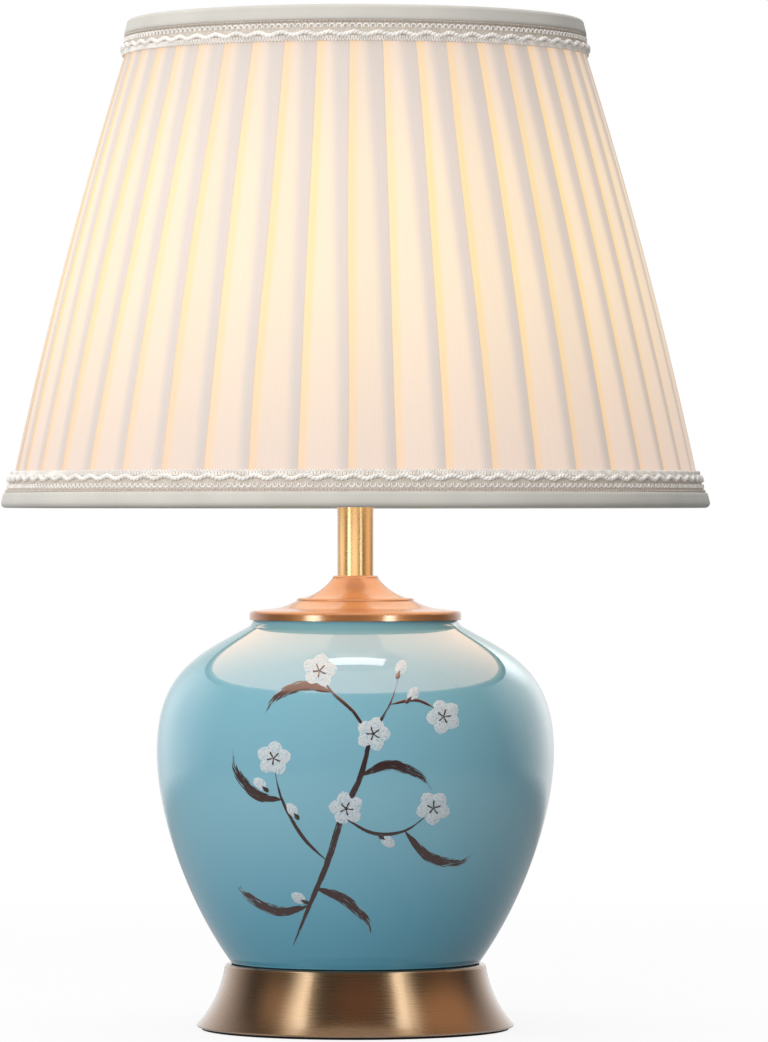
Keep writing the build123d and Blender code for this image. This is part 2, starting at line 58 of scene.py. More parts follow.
# A wave texture of scale 1 repeats after these lengths, in bands across an axis and across the diagonal.
WAVE, DIAGONAL_WAVE = math.tau / 20, math.tau / (10 * math.sqrt(3))


def linear(hex_colour):
    """Turns an sRGB hex value to the linear numbers that a colour socket holds."""
    parts = [int(hex_colour[i:i + 2], 16) / 255 for i in (1, 3, 5)]
    return tuple(p / 12.92 if p <= 0.04045 else ((p + 0.055) / 1.055) ** 2.4 for p in parts)


def length(name, description, millimetres):
    """A size that a user may change, written in millimetres."""
    return FloatProperty(
        name=name,
        description=description,
        default=millimetres * MM,
        min=0,
        unit="LENGTH",
        subtype="DISTANCE",
    )


def power(name, description, watts):
    """The power of a light that a user may change."""
    return FloatProperty(name=name, description=description, default=watts, min=0, unit="POWER")


def colour(name, description, hex_colour):
    """A colour that a user may change, written as an sRGB hex value."""
    return FloatVectorProperty(
        name=name,
        description=description,
        default=linear(hex_colour),
        size=3,
        min=0,
        max=1,
        subtype="COLOR",
    )


class ShadeSizes(bpy.types.PropertyGroup):
    """Sizes of the pleated shade."""

    pleats: IntProperty(name="Pleats", description="Knife pleats round the shade", default=45, min=8)
    first_fold: FloatProperty(
        name="First Fold",
        description="Turn of one fold from the front",
        default=math.radians(-1.1),
        subtype="ANGLE",
    )
    cloth_per_pleat: length("Cloth per Pleat", "Flat width of cloth that one pleat takes up", 34.6)
    pleat_depth: length("Pleat Depth", "From the hidden inner folds to the outer ones", 1.5)
    fold_gauge: length("Fold Gauge", "Thickness of an outer fold", 0.35)
    waver: length("Waver", "How far a hand-laid fold strays from a straight line", 0.55)
    low_radius: length("Lower Radius", "Outer folds at the lower rim", 172.4)
    high_radius: length("Upper Radius", "Outer folds at the upper rim", 108.9)
    bow: length("Bow", "How far the side swells beyond a straight cone", 3.5)


class TrimSizes(bpy.types.PropertyGroup):
    """Sizes of the binding and the braid."""

    binding_proud: length("Binding Stand-off", "Binding's face outside the folds", 3.3)
    binding_bulge: length("Binding Bulge", "Swell of the binding's face", 0.35)
    tape_gauge: length("Tape Gauge", "Thickness of the binding tape where it turns in", 1.1)
    binding_roll: length("Binding Roll", "Radius of the binding's turn under the rim", 2.4)
    ripple: length("Ripple", "Unevenness of the glued tape", 0.3)
    braid_edge: length("Braid Edge", "Braid's free edge outside the folds", 1.4)
    braid_bulge: length("Braid Bulge", "Swell of the braid's face", 0.6)
    picot_pitch: length("Picot Pitch", "From one upright loop to the next", 1.75)
    picot_yarn: length("Picot Yarn", "Radius of the yarn in the upright loops", 0.34)
    loop_pitch: length("Loop Pitch", "From one round loop to the next", 3.3)
    loop_yarn: length("Loop Yarn", "Radius of the yarn in the round loops", 0.42)
    scroll_pitch: length("Scroll Pitch", "From one wave of the cord to the next", 11.8)
    scroll_yarn: length("Scroll Yarn", "Radius of each strand of the waved cord", 0.75)


class BrushworkSizes(bpy.types.PropertyGroup):
    """Sizes of the painting on the jar."""

    paint_height: length("Paint Height", "How far the dark strokes stand on the glaze", 0.12)
    slip_height: length("Slip Height", "How far the white petals stand on the glaze", 0.35)
    petal: length("Petal", "Length of a blossom's petal", 8.6)
    leaf_width: length("Leaf Width", "Widest part of a leaf stroke", 5.2)


class StageSizes(bpy.types.PropertyGroup):
    """Camera and light."""

    distance: length("Distance", "From the camera to the lamp's axis", 3400)
    eye_height: length("Eye Height", "Camera above the table", 251.5)
    aside: length("Aside", "Camera to the right of the lamp's axis", 14.2)
    lens: FloatProperty(name="Lens", description="Focal length", default=237, min=1, unit="CAMERA")
    ambient: FloatProperty(name="Ambient", description="Even light from all round", default=0.67, min=0)
    from_left: FloatProperty(name="From Left", description="Extra light from the left", default=0.45, min=0)
    top_power: power("Top", "Broad softbox overhead", 19)
    key_power: power("Key", "Broad softbox left of the camera", 14.5)
    strip_power: power("Strips", "Narrow softboxes that the brass mirrors", 7.2)
    panel_power: power("Panels", "Broad panels that the brass and the glaze mirror", 2.4)
    mirror_power: power("Mouth", "Light that comes down out of the shade", 1.3)


class Finishes(bpy.types.PropertyGroup):
    """Colours of the surfaces."""

    cloth: colour("Cloth", "One layer of the pleated cloth, unlit", "#8F8D89")
    cloth_lap: colour("Lapped Cloth", "Three layers of it, unlit", "#A4A3A3")
    glow_mid: colour("Glow", "Light through one layer, level with the bulb", "#E6CCAB")
    glow_rim: colour("Rim Glow", "Light through one layer, near the rims", "#CAB0A4")
    edge_mid: colour("Fold Glow", "Light beside a fold, level with the bulb", "#EAC87C")
    edge_rim: colour("Rim Fold Glow", "Light beside a fold, near the rims", "#D7AD89")
    lap_mid: colour("Lap Glow", "Light through three layers, level with the bulb", "#B6A191")
    lap_rim: colour("Rim Lap Glow", "Light through three layers, near the rims", "#97887A")
    tape: colour("Tape", "Binding tape", "#D0CCC4")
    braid_ground: colour("Braid Ground", "Woven ground of the braid", "#D7CDC1")
    braid_yarn: colour("Braid Yarn", "Loops and waved cord", "#F6F3ED")
    glaze: colour("Glaze", "Pale blue glaze", "#84B9CA")
    # The deep glaze makes the jar a deeper blue towards the foot.
    glaze_deep: colour("Deep Glaze", "Glaze where it ran thicker", "#60A9C3")
    stroke: colour("Brush Stroke", "Iron-brown brushwork", "#3A2421")
    slip: colour("White Slip", "White petals", "#D3D8DC")
    antique: colour("Antique Brass", "Brushed foot", "#A47A4D")
    patina: colour("Patina", "Brown patches of the foot", "#9A6A36")
    satin: colour("Satin Brass", "Cap", "#D7915F")
    polished: colour("Polished Brass", "Neck tube", "#E3B676")


def add(tree, kind, inputs=None, **settings):
    """Adds a node with its settings, its input values and its links."""
    node = tree.nodes.new(kind)
    for name, value in settings.items():
        setattr(node, name, value)
    return feed(tree, node, inputs or {})


def feed(tree, node, inputs):
    """Sets or links a node's inputs, by name or number. A node that is given stands for its live output."""
    for key, value in inputs.items():
        if isinstance(value, bpy.types.Node):
            value = next(socket for socket in value.outputs if socket.enabled)
        if isinstance(value, bpy.types.NodeSocket):
            tree.links.new(value, node.inputs[key])
        else:
            node.inputs[key].default_value = value
    return node


def opaque(colour_value):
    """A colour with its alpha, for a socket."""
    return (*colour_value, 1.0)


def new_material(name):
    """An empty Principled material: the material, its tree, its shader and its Object coordinates."""
    material = bpy.data.materials.new(name)
    material.use_nodes = True
    tree = material.node_tree
    place = add(tree, "ShaderNodeTexCoord").outputs["Object"]
    return material, tree, tree.nodes["Principled BSDF"], place


def dress(material, *nodes):
    """Gives CAD nodes that stay in view their finish."""
    for name in nodes:
        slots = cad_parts[name].data.materials
        slots.clear()
        slots.append(material)


def new_piece(name, vertices, faces, body, material):
    """Makes a mesh piece at the origin that rides on a CAD body."""
    mesh = bpy.data.meshes.new(name)
    mesh.from_pydata([tuple(v) for v in vertices], [], faces)
    mesh.update()
    mesh.shade_smooth()
    mesh.materials.append(material)
    piece = bpy.data.objects.new(name, mesh)
    bpy.context.scene.collection.objects.link(piece)
    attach(piece, body)
    return piece


def ring_faces(columns, rows, closed_rows=False):
    """Quads of a sheet that closes round the axis, column by column, and across if it is a tube."""
    faces = []
    for column in range(columns):
        beside = (column + 1) % columns
        for row in range(rows if closed_rows else rows - 1):
            above = (row + 1) % rows
            here, there = column * rows, beside * rows
            faces.append((here + row, there + row, there + above, here + above))
    return faces


def spread(mesh, name, values):
    """Writes one number a vertex as a named attribute."""
    attribute = mesh.attributes.new(name, "FLOAT", "POINT")
    attribute.data.foreach_set("value", np.asarray(values, np.float32).ravel())


def shade_span():
    """Heights of the shade's lower and upper rim."""
    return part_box("bottom_binding")[0].z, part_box("top_binding")[1].z


def crest_radius(sizes, z):
    """Radius of the pleats' outer folds at a height: a cone whose side bows outwards."""
    low, high = shade_span()
    share = (z - low) / (high - low)
    straight = sizes.low_radius + (sizes.high_radius - sizes.low_radius) * share
    return straight + 4 * sizes.bow * share * (1 - share)


# What the cloth's finish has to know at each point: millimetres past the fold that covers it and into its own
# lap, the bulb's light, and its pleat's own tone and warmth.
CLOTH_MARKS = ("past_fold_mm", "in_lap_mm", "glow", "own_tone", "own_warmth")


# Cotton cloth in a fine plain weave, lit from behind. One layer glows warm, the three layers of a lap hold
# the light back and look greyer, and the strip beside a fold is the yellowest.
def pleated_cloth_material(finishes):
    material, tree, shader, _ = new_material("pleated cotton cloth")
    past_fold, in_lap, glow, own_tone, own_warmth = (
        add(tree, "ShaderNodeAttribute", attribute_name=name).outputs["Fac"] for name in CLOTH_MARKS
    )
    single = add(
        tree,
        "ShaderNodeMix",
        {0: glow, 6: opaque(finishes.glow_rim), 7: opaque(finishes.glow_mid)},
        data_type="RGBA",
    )
    edge = add(
        tree,
        "ShaderNodeMix",
        {0: glow, 6: opaque(finishes.edge_rim), 7: opaque(finishes.edge_mid)},
        data_type="RGBA",
    )
    lap = add(
        tree,
        "ShaderNodeMix",
        {0: glow, 6: opaque(finishes.lap_rim), 7: opaque(finishes.lap_mid)},
        data_type="RGBA",
    )
    beside_fold = add(
        tree,
        "ShaderNodeMapRange",
        {"Value": past_fold, "From Min": 2.4, "From Max": 5.4, "To Min": 1.0, "To Max": 0.0},
        interpolation_type="SMOOTHSTEP",
    )
    lapped = add(
        tree,
        "ShaderNodeMapRange",
        {"Value": in_lap, "From Min": -1.6, "From Max": 4.2},
        interpolation_type="SMOOTHSTEP",
    )
    on_fold = add(
        tree,
        "ShaderNodeMapRange",
        {"Value": past_fold, "From Min": 0.2, "From Max": 1.6, "To Min": 0.5, "To Max": 1.0},
    )
    warmth = add(tree, "ShaderNodeMath", {0: beside_fold, 1: own_warmth}, operation="MULTIPLY")
    warmth = add(tree, "ShaderNodeMath", {0: warmth, 1: on_fold}, operation="MULTIPLY")
    panel = add(tree, "ShaderNodeMix", {0: warmth, 6: single, 7: edge}, data_type="RGBA")
    lit = add(tree, "ShaderNodeMix", {0: lapped, 6: panel, 7: lap}, data_type="RGBA")
    # Threads are 0.3 mm apart, drawn at 0.6 mm so that they show. Slubs are drawn 0.7 mm wide and 17 mm long.
    thread_place = add(tree, "ShaderNodeUVMap", uv_map="cloth")
    slub_place = add(tree, "ShaderNodeMapping", {"Vector": thread_place, "Scale": (1.5 / MM, 0.06 / MM, 1)})
    slubs = add(tree, "ShaderNodeTexNoise", {"Vector": slub_place, "Scale": 1.0, "Detail": 3.0})
    slub_tone = add(
        tree, "ShaderNodeMapRange", {"Value": slubs, "From Min": 0.3, "From Max": 0.7, "To Min": 0.97}
    )
    level = add(tree, "ShaderNodeMath", {0: slub_tone, 1: own_tone}, operation="MULTIPLY")
    woven = add(tree, "ShaderNodeMix", {0: 1.0, 6: lit, 7: level}, data_type="RGBA", blend_type="MULTIPLY")
    thread = 1 / (0.6 * MM)
    weave_place = add(tree, "ShaderNodeMapping", {"Vector": thread_place, "Scale": (thread, thread, 1)})
    weave = add(tree, "ShaderNodeTexChecker", {"Vector": weave_place, "Scale": 1.0})
    threads = weave.outputs["Fac"]
    bump = add(tree, "ShaderNodeBump", {"Height": threads, "Strength": 0.15, "Distance": 0.1 * MM})
    layers = add(
        tree,
        "ShaderNodeMix",
        {0: lapped, 6: opaque(finishes.cloth), 7: opaque(finishes.cloth_lap)},
        data_type="RGBA",
    )
    body = add(
        tree,
        "ShaderNodeMix",
        {0: 1.0, 6: layers, 7: slub_tone},
        data_type="RGBA",
        blend_type="MULTIPLY",
    )
    feed(tree, shader, {
        "Base Color": body,
        "Roughness": 0.9,
        "Sheen Weight": 0.15,
        "Emission Color": woven,
        "Emission Strength": 1.0,
        "Normal": bump,
    })
    return material


class ClothRow(NamedTuple):
    """One level of the cloth: its height, its folds' radius and pitch, the depth of its laps, the bulb's
    light on it, how far each fold strays, and the way up the cloth to it."""

    z: float
    crest: float
    pitch: float
    lap: float
    light: float
    strays: np.ndarray
    slant: float


class LAMP_OT_cloth(bpy.types.Operator):
    """Folds the cloth into knife pleats over the liner"""

    bl_idname = "lamp.cloth"
    bl_label = "Pleated Cloth"
    row_count = 73
    # How strongly a fold strays in one, two and three half waves between the rims.
    stray_waves = (1.0, 0.6, 0.3)
    # Share of the bulb's light that reaches the lower rim, against the cloth level with the bulb.
    rim_light = 0.37

    def execute(self, context):
        sizes = context.scene.lamp_shade
        draw = np.random.default_rng(11)
        stray = draw.normal(0, 1, (sizes.pleats, len(self.stray_waves)))
        tones = draw.uniform(0.955, 1.03, sizes.pleats)
        warmths = draw.uniform(0.7, 1.0, sizes.pleats)
        rows = self.cloth_rows(sizes, stray)
        vertices, cloth_uv = [], []
        marks = {name: [] for name in CLOTH_MARKS}
        for pleat in range(sizes.pleats):
            fold_turn = -math.pi / 2 + sizes.first_fold + math.tau * (pleat - 1) / sizes.pleats
            sections = []
            for row in rows:
                start, end = row.strays[pleat - 1], row.strays[pleat]
                sections.append(self.pleat_section(sizes, row.pitch + end - start, row.lap, start))
            for column in range(len(sections[0])):
                for row, section in zip(rows, sections):
                    along, depth, past_fold, in_lap, flat = section[column]
                    turn = fold_turn + along / row.crest
                    radius = row.crest - depth
                    vertices.append((radius * math.cos(turn), radius * math.sin(turn), row.z))
                    cloth_uv.append((pleat * sizes.cloth_per_pleat + flat, row.slant))
                    values = (past_fold / MM, in_lap / MM, row.light, tones[pleat], warmths[pleat])
                    for name, value in zip(CLOTH_MARKS, values):
                        marks[name].append(value)
        faces = ring_faces(len(vertices) // len(rows), len(rows))
        material = pleated_cloth_material(context.scene.lamp_finishes)
        cloth = new_piece("pleated_cloth_sheet", vertices, faces, "shade", material)
        for name, values in marks.items():
            spread(cloth.data, name, values)
        layer = cloth.data.uv_layers.new(name="cloth")
        corners = np.zeros(len(cloth.data.loops), np.int32)
        cloth.data.loops.foreach_get("vertex_index", corners)
        layer.data.foreach_set("uv", np.asarray(cloth_uv, np.float32)[corners].ravel())
        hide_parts("pleated_cloth")
        return {"FINISHED"}

    def cloth_rows(self, sizes, stray):
        """The cloth's levels, evenly spaced from the lower rim up."""
        low, high = (corner.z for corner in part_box("pleated_cloth"))
        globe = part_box("bulb_glass")[1]
        # The light seems to come from a little below the middle of the bulb's globe.
        bulb_z = globe.z - 1.4 * globe.x
        nearest = crest_radius(sizes, bulb_z)
        rows = []
        slant = 0.0
        for z in np.linspace(low, high, self.row_count):
            crest = crest_radius(sizes, z)
            if rows:
                slant += math.hypot(z - rows[-1].z, crest - rows[-1].crest)
            pitch = math.tau * crest / sizes.pleats
            lap = (sizes.cloth_per_pleat - pitch) / 2
            reach = math.hypot(crest, z - bulb_z)
            light = ((nearest / reach) ** 2 * crest / reach - self.rim_light) / (1 - self.rim_light)
            share = (z - low) / (high - low)
            strays = sizes.waver * sum(
                stray[:, wave] * math.sin((wave + 1) * math.pi * share) * weight
                for wave, weight in enumerate(self.stray_waves)
            )
            rows.append(ClothRow(z, crest, pitch, lap, light, strays, slant))
        return rows

    def pleat_section(self, sizes, pitch, lap, start):
        """One pleat across: from its hidden inner fold, out under the fold before it and up to its own fold.
        Each point is its place along the round, its depth, how far it is past the fold that covers it, how
        far it is inside its lap, and its place on the flat cloth."""
        bead = sizes.fold_gauge
        shown = pitch - bead / 2
        panel = [-lap, -lap / 2, -0.5 * MM]
        panel += [shown * share for share in (0.02, 0.12, 0.25, 0.4, 0.55)]
        panel += [shown - lap, shown - lap * 0.75, shown - lap * 0.45, shown - bead]
        panel = sorted(panel)
        section = []
        for along in panel:
            rise = (along + lap) / (shown + lap)
            depth = sizes.pleat_depth * (1 - rise) ** 1.5
            section.append((start + along, depth, max(along, 0.0), along - (shown - lap), lap + along))
        section.append((start + shown, 0.12 * bead, shown, lap, lap + shown))
        section.append((start + pitch, 0.5 * bead, 0.0, -lap, lap + pitch))
        section.append((start + shown, 0.95 * bead, 0.0, -lap, lap + pitch + bead / 2))
        middle = pitch - lap / 2
        section.append((start + middle, sizes.pleat_depth * 0.62, shown, lap, lap + pitch + lap / 2))
        return section


# Plain cotton tape, folded and glued over the rim: matt, slightly grey, with a fine weave.
def tape_material(finishes):
    material, tree, shader, place = new_material("cotton binding tape")
    # The warp runs round the rim. Its threads are too fine to show, so it is drawn as soft bands 5 mm apart.
    weave = add(
        tree,
        "ShaderNodeTexWave",
        {"Vector": place, "Scale": WAVE / (5.03 * MM), "Distortion": 1.5, "Detail": 2.0},
        bands_direction="Z",
    )
    patches = add(tree, "ShaderNodeTexNoise", {"Vector": place, "Scale": 1 / (30 * MM), "Detail": 4.0})
    tone = add(
        tree, "ShaderNodeMapRange", {"Value": patches, "From Min": 0.3, "From Max": 0.7, "To Min": 0.9}
    )
    tint = add(
        tree,
        "ShaderNodeMix",
        {0: 1.0, 6: opaque(finishes.tape), 7: tone},
        data_type="RGBA",
        blend_type="MULTIPLY",
    )
    bands = weave.outputs["Fac"]
    bump = add(tree, "ShaderNodeBump", {"Height": bands, "Strength": 0.2, "Distance": 0.1 * MM})
    feed(tree, shader, {
        "Base Color": tint,
        "Roughness": 0.85,
        "Sheen Weight": 0.2,
        "Normal": bump,
    })
    return material


class LAMP_OT_bindings(bpy.types.Operator):
    """Folds a tape over each rim of the shade"""

    bl_idname = "lamp.bindings"
    bl_label = "Bindings"

    def execute(self, context):
        shade, trim = context.scene.lamp_shade, context.scene.lamp_trim
        material = tape_material(context.scene.lamp_finishes)
        for rim, into in (("bottom", 1), ("top", -1)):
            node = f"{rim}_binding"
            low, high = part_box(node)
            edge, end = (low.z, high.z) if into > 0 else (high.z, low.z)
            section = self.section(shade, trim, edge, end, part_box(f"{rim}_ring"))
            steps = 288
            vertices = []
            for step in range(steps):
                turn = math.tau * step / steps
                wave = math.sin(7 * turn + 1) + 0.7 * math.sin(17 * turn + 2 * into)
                wave += 0.4 * math.sin(31 * turn)
                for radius, z, loose in section:
                    radius = radius + trim.ripple * 0.35 * wave * loose
                    vertices.append((radius * math.cos(turn), radius * math.sin(turn), z))
            faces = ring_faces(steps, len(section), closed_rows=True)
            if into < 0:
                faces = [tuple(reversed(face)) for face in faces]
            tape = new_piece(f"{rim}_binding_tape", vertices, faces, "shade", material)
            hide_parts(node)
        return {"FINISHED"}

    def section(self, shade, trim, edge, end, ring_box):
        """The tape across: up its face, over its top edge, down behind it and in under the rim. Each point
        has its radius, its height and how freely it may ripple."""
        into = 1 if end > edge else -1
        face = trim.binding_proud
        behind = 0.4 * MM
        wire_inner = ring_box[1].x - (ring_box[1].z - ring_box[0].z)
        points = []
        roll = trim.binding_roll
        middle = edge + into * roll
        out = crest_radius(shade, middle) + face + trim.binding_bulge
        for share in np.linspace(0, 1, 7):
            angle = share * math.pi / 2
            radius = out - roll + roll * math.sin(angle)
            points.append((radius, middle - into * roll * math.cos(angle), share))
        for share in (0.35, 0.7, 0.92):
            z = middle + (end - middle) * share
            points.append((crest_radius(shade, z) + face + trim.binding_bulge * (1 - share ** 2), z, 1.0))
        points.append((crest_radius(shade, end) + face - behind, end, 0.8))
        points.append((crest_radius(shade, end) + behind, end, 0.0))
        turn = edge + into * trim.tape_gauge
        points.append((crest_radius(shade, turn) + behind, turn, 0.0))
        points.append((wire_inner, turn, 0.0))
        points.append((wire_inner - 0.3 * MM, edge + into * 0.5 * trim.tape_gauge, 0.0))
        points.append((wire_inner, edge, 0.0))
        return points


# Gimp ground woven of beige rayon: dull, with a close texture. A little of the bulb's light comes through it,
# and most at its open edge on the cloth.
def braid_ground_material(finishes):
    material, tree, shader, place = new_material("woven rayon ground")
    open_edge = add(tree, "ShaderNodeAttribute", attribute_name="open_edge").outputs["Fac"]
    # Wefts are 0.6 mm apart, drawn at 1.2 mm so that they show.
    cells = add(tree, "ShaderNodeTexVoronoi", {"Vector": place, "Scale": 1 / (1.2 * MM)})
    tone = add(
        tree,
        "ShaderNodeMapRange",
        {"Value": cells.outputs["Distance"], "From Max": 0.8, "To Min": 1.0, "To Max": 0.78},
    )
    tint = add(
        tree,
        "ShaderNodeMix",
        {0: 1.0, 6: opaque(finishes.braid_ground), 7: tone},
        data_type="RGBA",
        blend_type="MULTIPLY",
    )
    through = add(tree, "ShaderNodeMapRange", {"Value": open_edge, "To Min": 0.05, "To Max": 0.3})
    bump = add(tree, "ShaderNodeBump", {"Height": tone, "Strength": 0.4, "Distance": 0.3 * MM})
    feed(tree, shader, {
        "Base Color": tint,
        "Roughness": 0.8,
        "Emission Color": opaque(finishes.glow_rim),
        "Emission Strength": through,
        "Normal": bump,
    })
    return material


# Rayon yarn, doubled and twisted: white with a soft sheen and a slanting lay. A faint glow of the bulb's
# light through it is painted in as emission.
def braid_yarn_material(finishes):
    material, tree, shader, place = new_material("twisted rayon yarn")
    # The twist is about a millimetre long, drawn as slanting bands 6.5 mm apart so that it shows.
    lay = add(
        tree,
        "ShaderNodeTexWave",
        {"Vector": place, "Scale": DIAGONAL_WAVE / (6.53 * MM), "Distortion": 2.0},
        bands_direction="DIAGONAL",
    )
    tone = add(tree, "ShaderNodeMapRange", {"Value": lay.outputs["Fac"], "To Min": 0.86, "To Max": 1.0})
    tint = add(
        tree,
        "ShaderNodeMix",
        {0: 1.0, 6: opaque(finishes.braid_yarn), 7: tone},
        data_type="RGBA",
        blend_type="MULTIPLY",
    )
    feed(tree, shader, {
        "Base Color": tint,
        "Roughness": 0.55,
        "Sheen Weight": 0.3,
        # Painted light: the bulb's faint glow through the yarn, as emission.
        "Emission Color": opaque(finishes.glow_rim),
        "Emission Strength": 0.06,
    })
    return material


# The rows of loops on a braid: place across it, where the loop's ring starts and how far it goes in degrees,
# half its width, its height, its points, and the inputs that hold its number, its yarn and its finish.
LOOP_ROWS = (
    (0.09, 180, 180, 0.80 * MM, 0.9 * MM, 6, "Picots", "Picot Yarn", "Ground"),
    (0.30, 155, 230, 1.25 * MM, 1.3 * MM, 9, "Loops", "Loop Yarn", "Yarn"),
    (0.80, -30, 240, 0.55 * MM, 1.7 * MM, 7, "Picots", "Picot Yarn", "Yarn"),
)


def yarn_tree():
    """Geometry Nodes for the braid's yarns: a scalloped edge, round and upright loops, and a waved cord."""
    tree = bpy.data.node_groups.new("Scroll Yarns", "GeometryNodeTree")
    tree.interface.new_socket("Geometry", in_out="OUTPUT", socket_type="NodeSocketGeometry")
    sockets = {
        "NodeSocketFloat": (
            "Near Radius", "Near Height", "Far Radius", "Far Height", "Bulge",
            "Picot Yarn", "Loop Yarn", "Scroll Yarn",
        ),
        "NodeSocketInt": ("Picots", "Loops", "Waves"),
        "NodeSocketMaterial": ("Yarn", "Ground"),
    }
    for kind, names in sockets.items():
        for name in names:
            tree.interface.new_socket(name, in_out="INPUT", socket_type=kind)
    given = add(tree, "NodeGroupInput").outputs
    joined = add(tree, "GeometryNodeJoinGeometry")
    for row in LOOP_ROWS:
        feed(tree, joined, {0: loop_row(tree, given, *row)})
    for twist_start in (0.0, math.pi):
        feed(tree, joined, {0: waved_strand(tree, given, twist_start)})
    smooth = add(tree, "GeometryNodeSetShadeSmooth", {"Geometry": joined})
    add(tree, "NodeGroupOutput", {0: smooth})
    return tree


def loop_row(tree, given, across, start, sweep, half, tall, points, count, yarn, finish):
    """A row of loops: an open ring of yarn, standing in the braid's face, that is repeated round the axis."""
    radius = add(tree, "ShaderNodeMix", {0: across, 2: given["Near Radius"], 3: given["Far Radius"]})
    height = add(tree, "ShaderNodeMix", {0: across, 2: given["Near Height"], 3: given["Far Height"]})
    centre = add(tree, "ShaderNodeCombineXYZ", {"X": radius, "Z": height})
    near, far = given["Near Height"], given["Far Height"]
    rise = add(tree, "ShaderNodeMath", {0: far, 1: near}, operation="SUBTRACT")
    way = add(tree, "ShaderNodeMath", {0: rise}, operation="SIGN")
    upright = add(tree, "ShaderNodeMath", {0: way, 1: tall}, operation="MULTIPLY")
    shape = add(tree, "ShaderNodeCombineXYZ", {"X": half, "Y": upright, "Z": 1.0})
    arc = add(
        tree,
        "GeometryNodeCurveArc",
        {
            "Resolution": points,
            "Radius": 1.0,
            "Start Angle": math.radians(start),
            "Sweep Angle": math.radians(sweep),
        },
    )
    stood = add(
        tree,
        "GeometryNodeTransform",
        {"Geometry": arc, "Translation": centre, "Rotation": (math.pi / 2, 0, math.pi / 2), "Scale": shape},
    )
    profile = add(tree, "GeometryNodeCurvePrimitiveCircle", {"Resolution": 5, "Radius": given[yarn]})
    loop = add(tree, "GeometryNodeCurveToMesh", {"Curve": stood, "Profile Curve": profile, "Fill Caps": True})
    spots = add(tree, "GeometryNodePoints", {"Count": given[count]})
    step = add(tree, "ShaderNodeMath", {0: math.tau, 1: given[count]}, operation="DIVIDE")
    index = add(tree, "GeometryNodeInputIndex")
    turn = add(tree, "ShaderNodeMath", {0: index, 1: step}, operation="MULTIPLY")
    spin = add(tree, "ShaderNodeCombineXYZ", {"Z": turn})
    row = add(tree, "GeometryNodeInstanceOnPoints", {"Points": spots, "Instance": loop, "Rotation": spin})
    real = add(tree, "GeometryNodeRealizeInstances", {"Geometry": row})
    return add(tree, "GeometryNodeSetMaterial", {"Geometry": real, "Material": given[finish]})


def waved_strand(tree, given, twist_start):
    """One strand of the waved cord: it twists round a line that swings across the braid's face."""
    points_per_wave, twists_per_wave = 24, 3
    middle, swing_share, strand_share = 0.63, 0.07, 0.65
    count = add(tree, "ShaderNodeMath", {0: given["Waves"], 1: points_per_wave}, operation="MULTIPLY")
    circle = add(tree, "GeometryNodeCurvePrimitiveCircle", {"Resolution": count, "Radius": 1.0})
    part = add(tree, "GeometryNodeSplineParameter").outputs["Factor"]
    angle = add(tree, "ShaderNodeMath", {0: part, 1: math.tau}, operation="MULTIPLY")
    phase = add(tree, "ShaderNodeMath", {0: angle, 1: given["Waves"]}, operation="MULTIPLY")
    swing = add(tree, "ShaderNodeMath", {0: phase}, operation="SINE")
    across = add(tree, "ShaderNodeMath", {0: swing, 1: swing_share, 2: middle}, operation="MULTIPLY_ADD")
    radius = add(tree, "ShaderNodeMix", {0: across, 2: given["Near Radius"], 3: given["Far Radius"]})
    height = add(tree, "ShaderNodeMix", {0: across, 2: given["Near Height"], 3: given["Far Height"]})
    twist = add(
        tree, "ShaderNodeMath", {0: phase, 1: twists_per_wave, 2: twist_start}, operation="MULTIPLY_ADD"
    )
    offset = add(tree, "ShaderNodeMath", {0: given["Scroll Yarn"], 1: strand_share}, operation="MULTIPLY")
    lift = add(tree, "ShaderNodeMath", {0: twist}, operation="COSINE")
    side = add(tree, "ShaderNodeMath", {0: twist}, operation="SINE")
    proud = add(tree, "ShaderNodeMath", {0: lift, 1: offset, 2: given["Bulge"]}, operation="MULTIPLY_ADD")
    out = add(tree, "ShaderNodeMath", {0: radius, 1: proud}, operation="ADD")
    up = add(tree, "ShaderNodeMath", {0: side, 1: offset, 2: height}, operation="MULTIPLY_ADD")
    cosine = add(tree, "ShaderNodeMath", {0: angle}, operation="COSINE")
    sine = add(tree, "ShaderNodeMath", {0: angle}, operation="SINE")
    x = add(tree, "ShaderNodeMath", {0: out, 1: cosine}, operation="MULTIPLY")
    y = add(tree, "ShaderNodeMath", {0: out, 1: sine}, operation="MULTIPLY")
    spot = add(tree, "ShaderNodeCombineXYZ", {"X": x, "Y": y, "Z": up})
    waved = add(tree, "GeometryNodeSetPosition", {"Geometry": circle, "Position": spot})
    profile = add(tree, "GeometryNodeCurvePrimitiveCircle", {"Resolution": 6, "Radius": given["Scroll Yarn"]})
    cord = add(tree, "GeometryNodeCurveToMesh", {"Curve": waved, "Profile Curve": profile})
    return add(tree, "GeometryNodeSetMaterial", {"Geometry": cord, "Material": given["Yarn"]})


def grown(name, tree, values, body):
    """Runs a Geometry Nodes tree with its named inputs and keeps the result as a plain mesh piece."""
    seed = bpy.data.objects.new(name + "_nodes", bpy.data.meshes.new(name + "_nodes"))
    bpy.context.scene.collection.objects.link(seed)
    modifier = seed.modifiers.new(name, "NODES")
    modifier.node_group = tree
    for socket in tree.interface.items_tree:
        if socket.in_out == "INPUT":
            modifier[socket.identifier] = values[socket.name]
    graph = bpy.context.evaluated_depsgraph_get()
    mesh = bpy.data.meshes.new_from_object(seed.evaluated_get(graph))
    bpy.data.objects.remove(seed)
    if not mesh.polygons:
        raise RuntimeError(f"{name} came out empty")
    mesh.name = name
    piece = bpy.data.objects.new(name, mesh)
    bpy.context.scene.collection.objects.link(piece)
    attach(piece, body)
    return piece


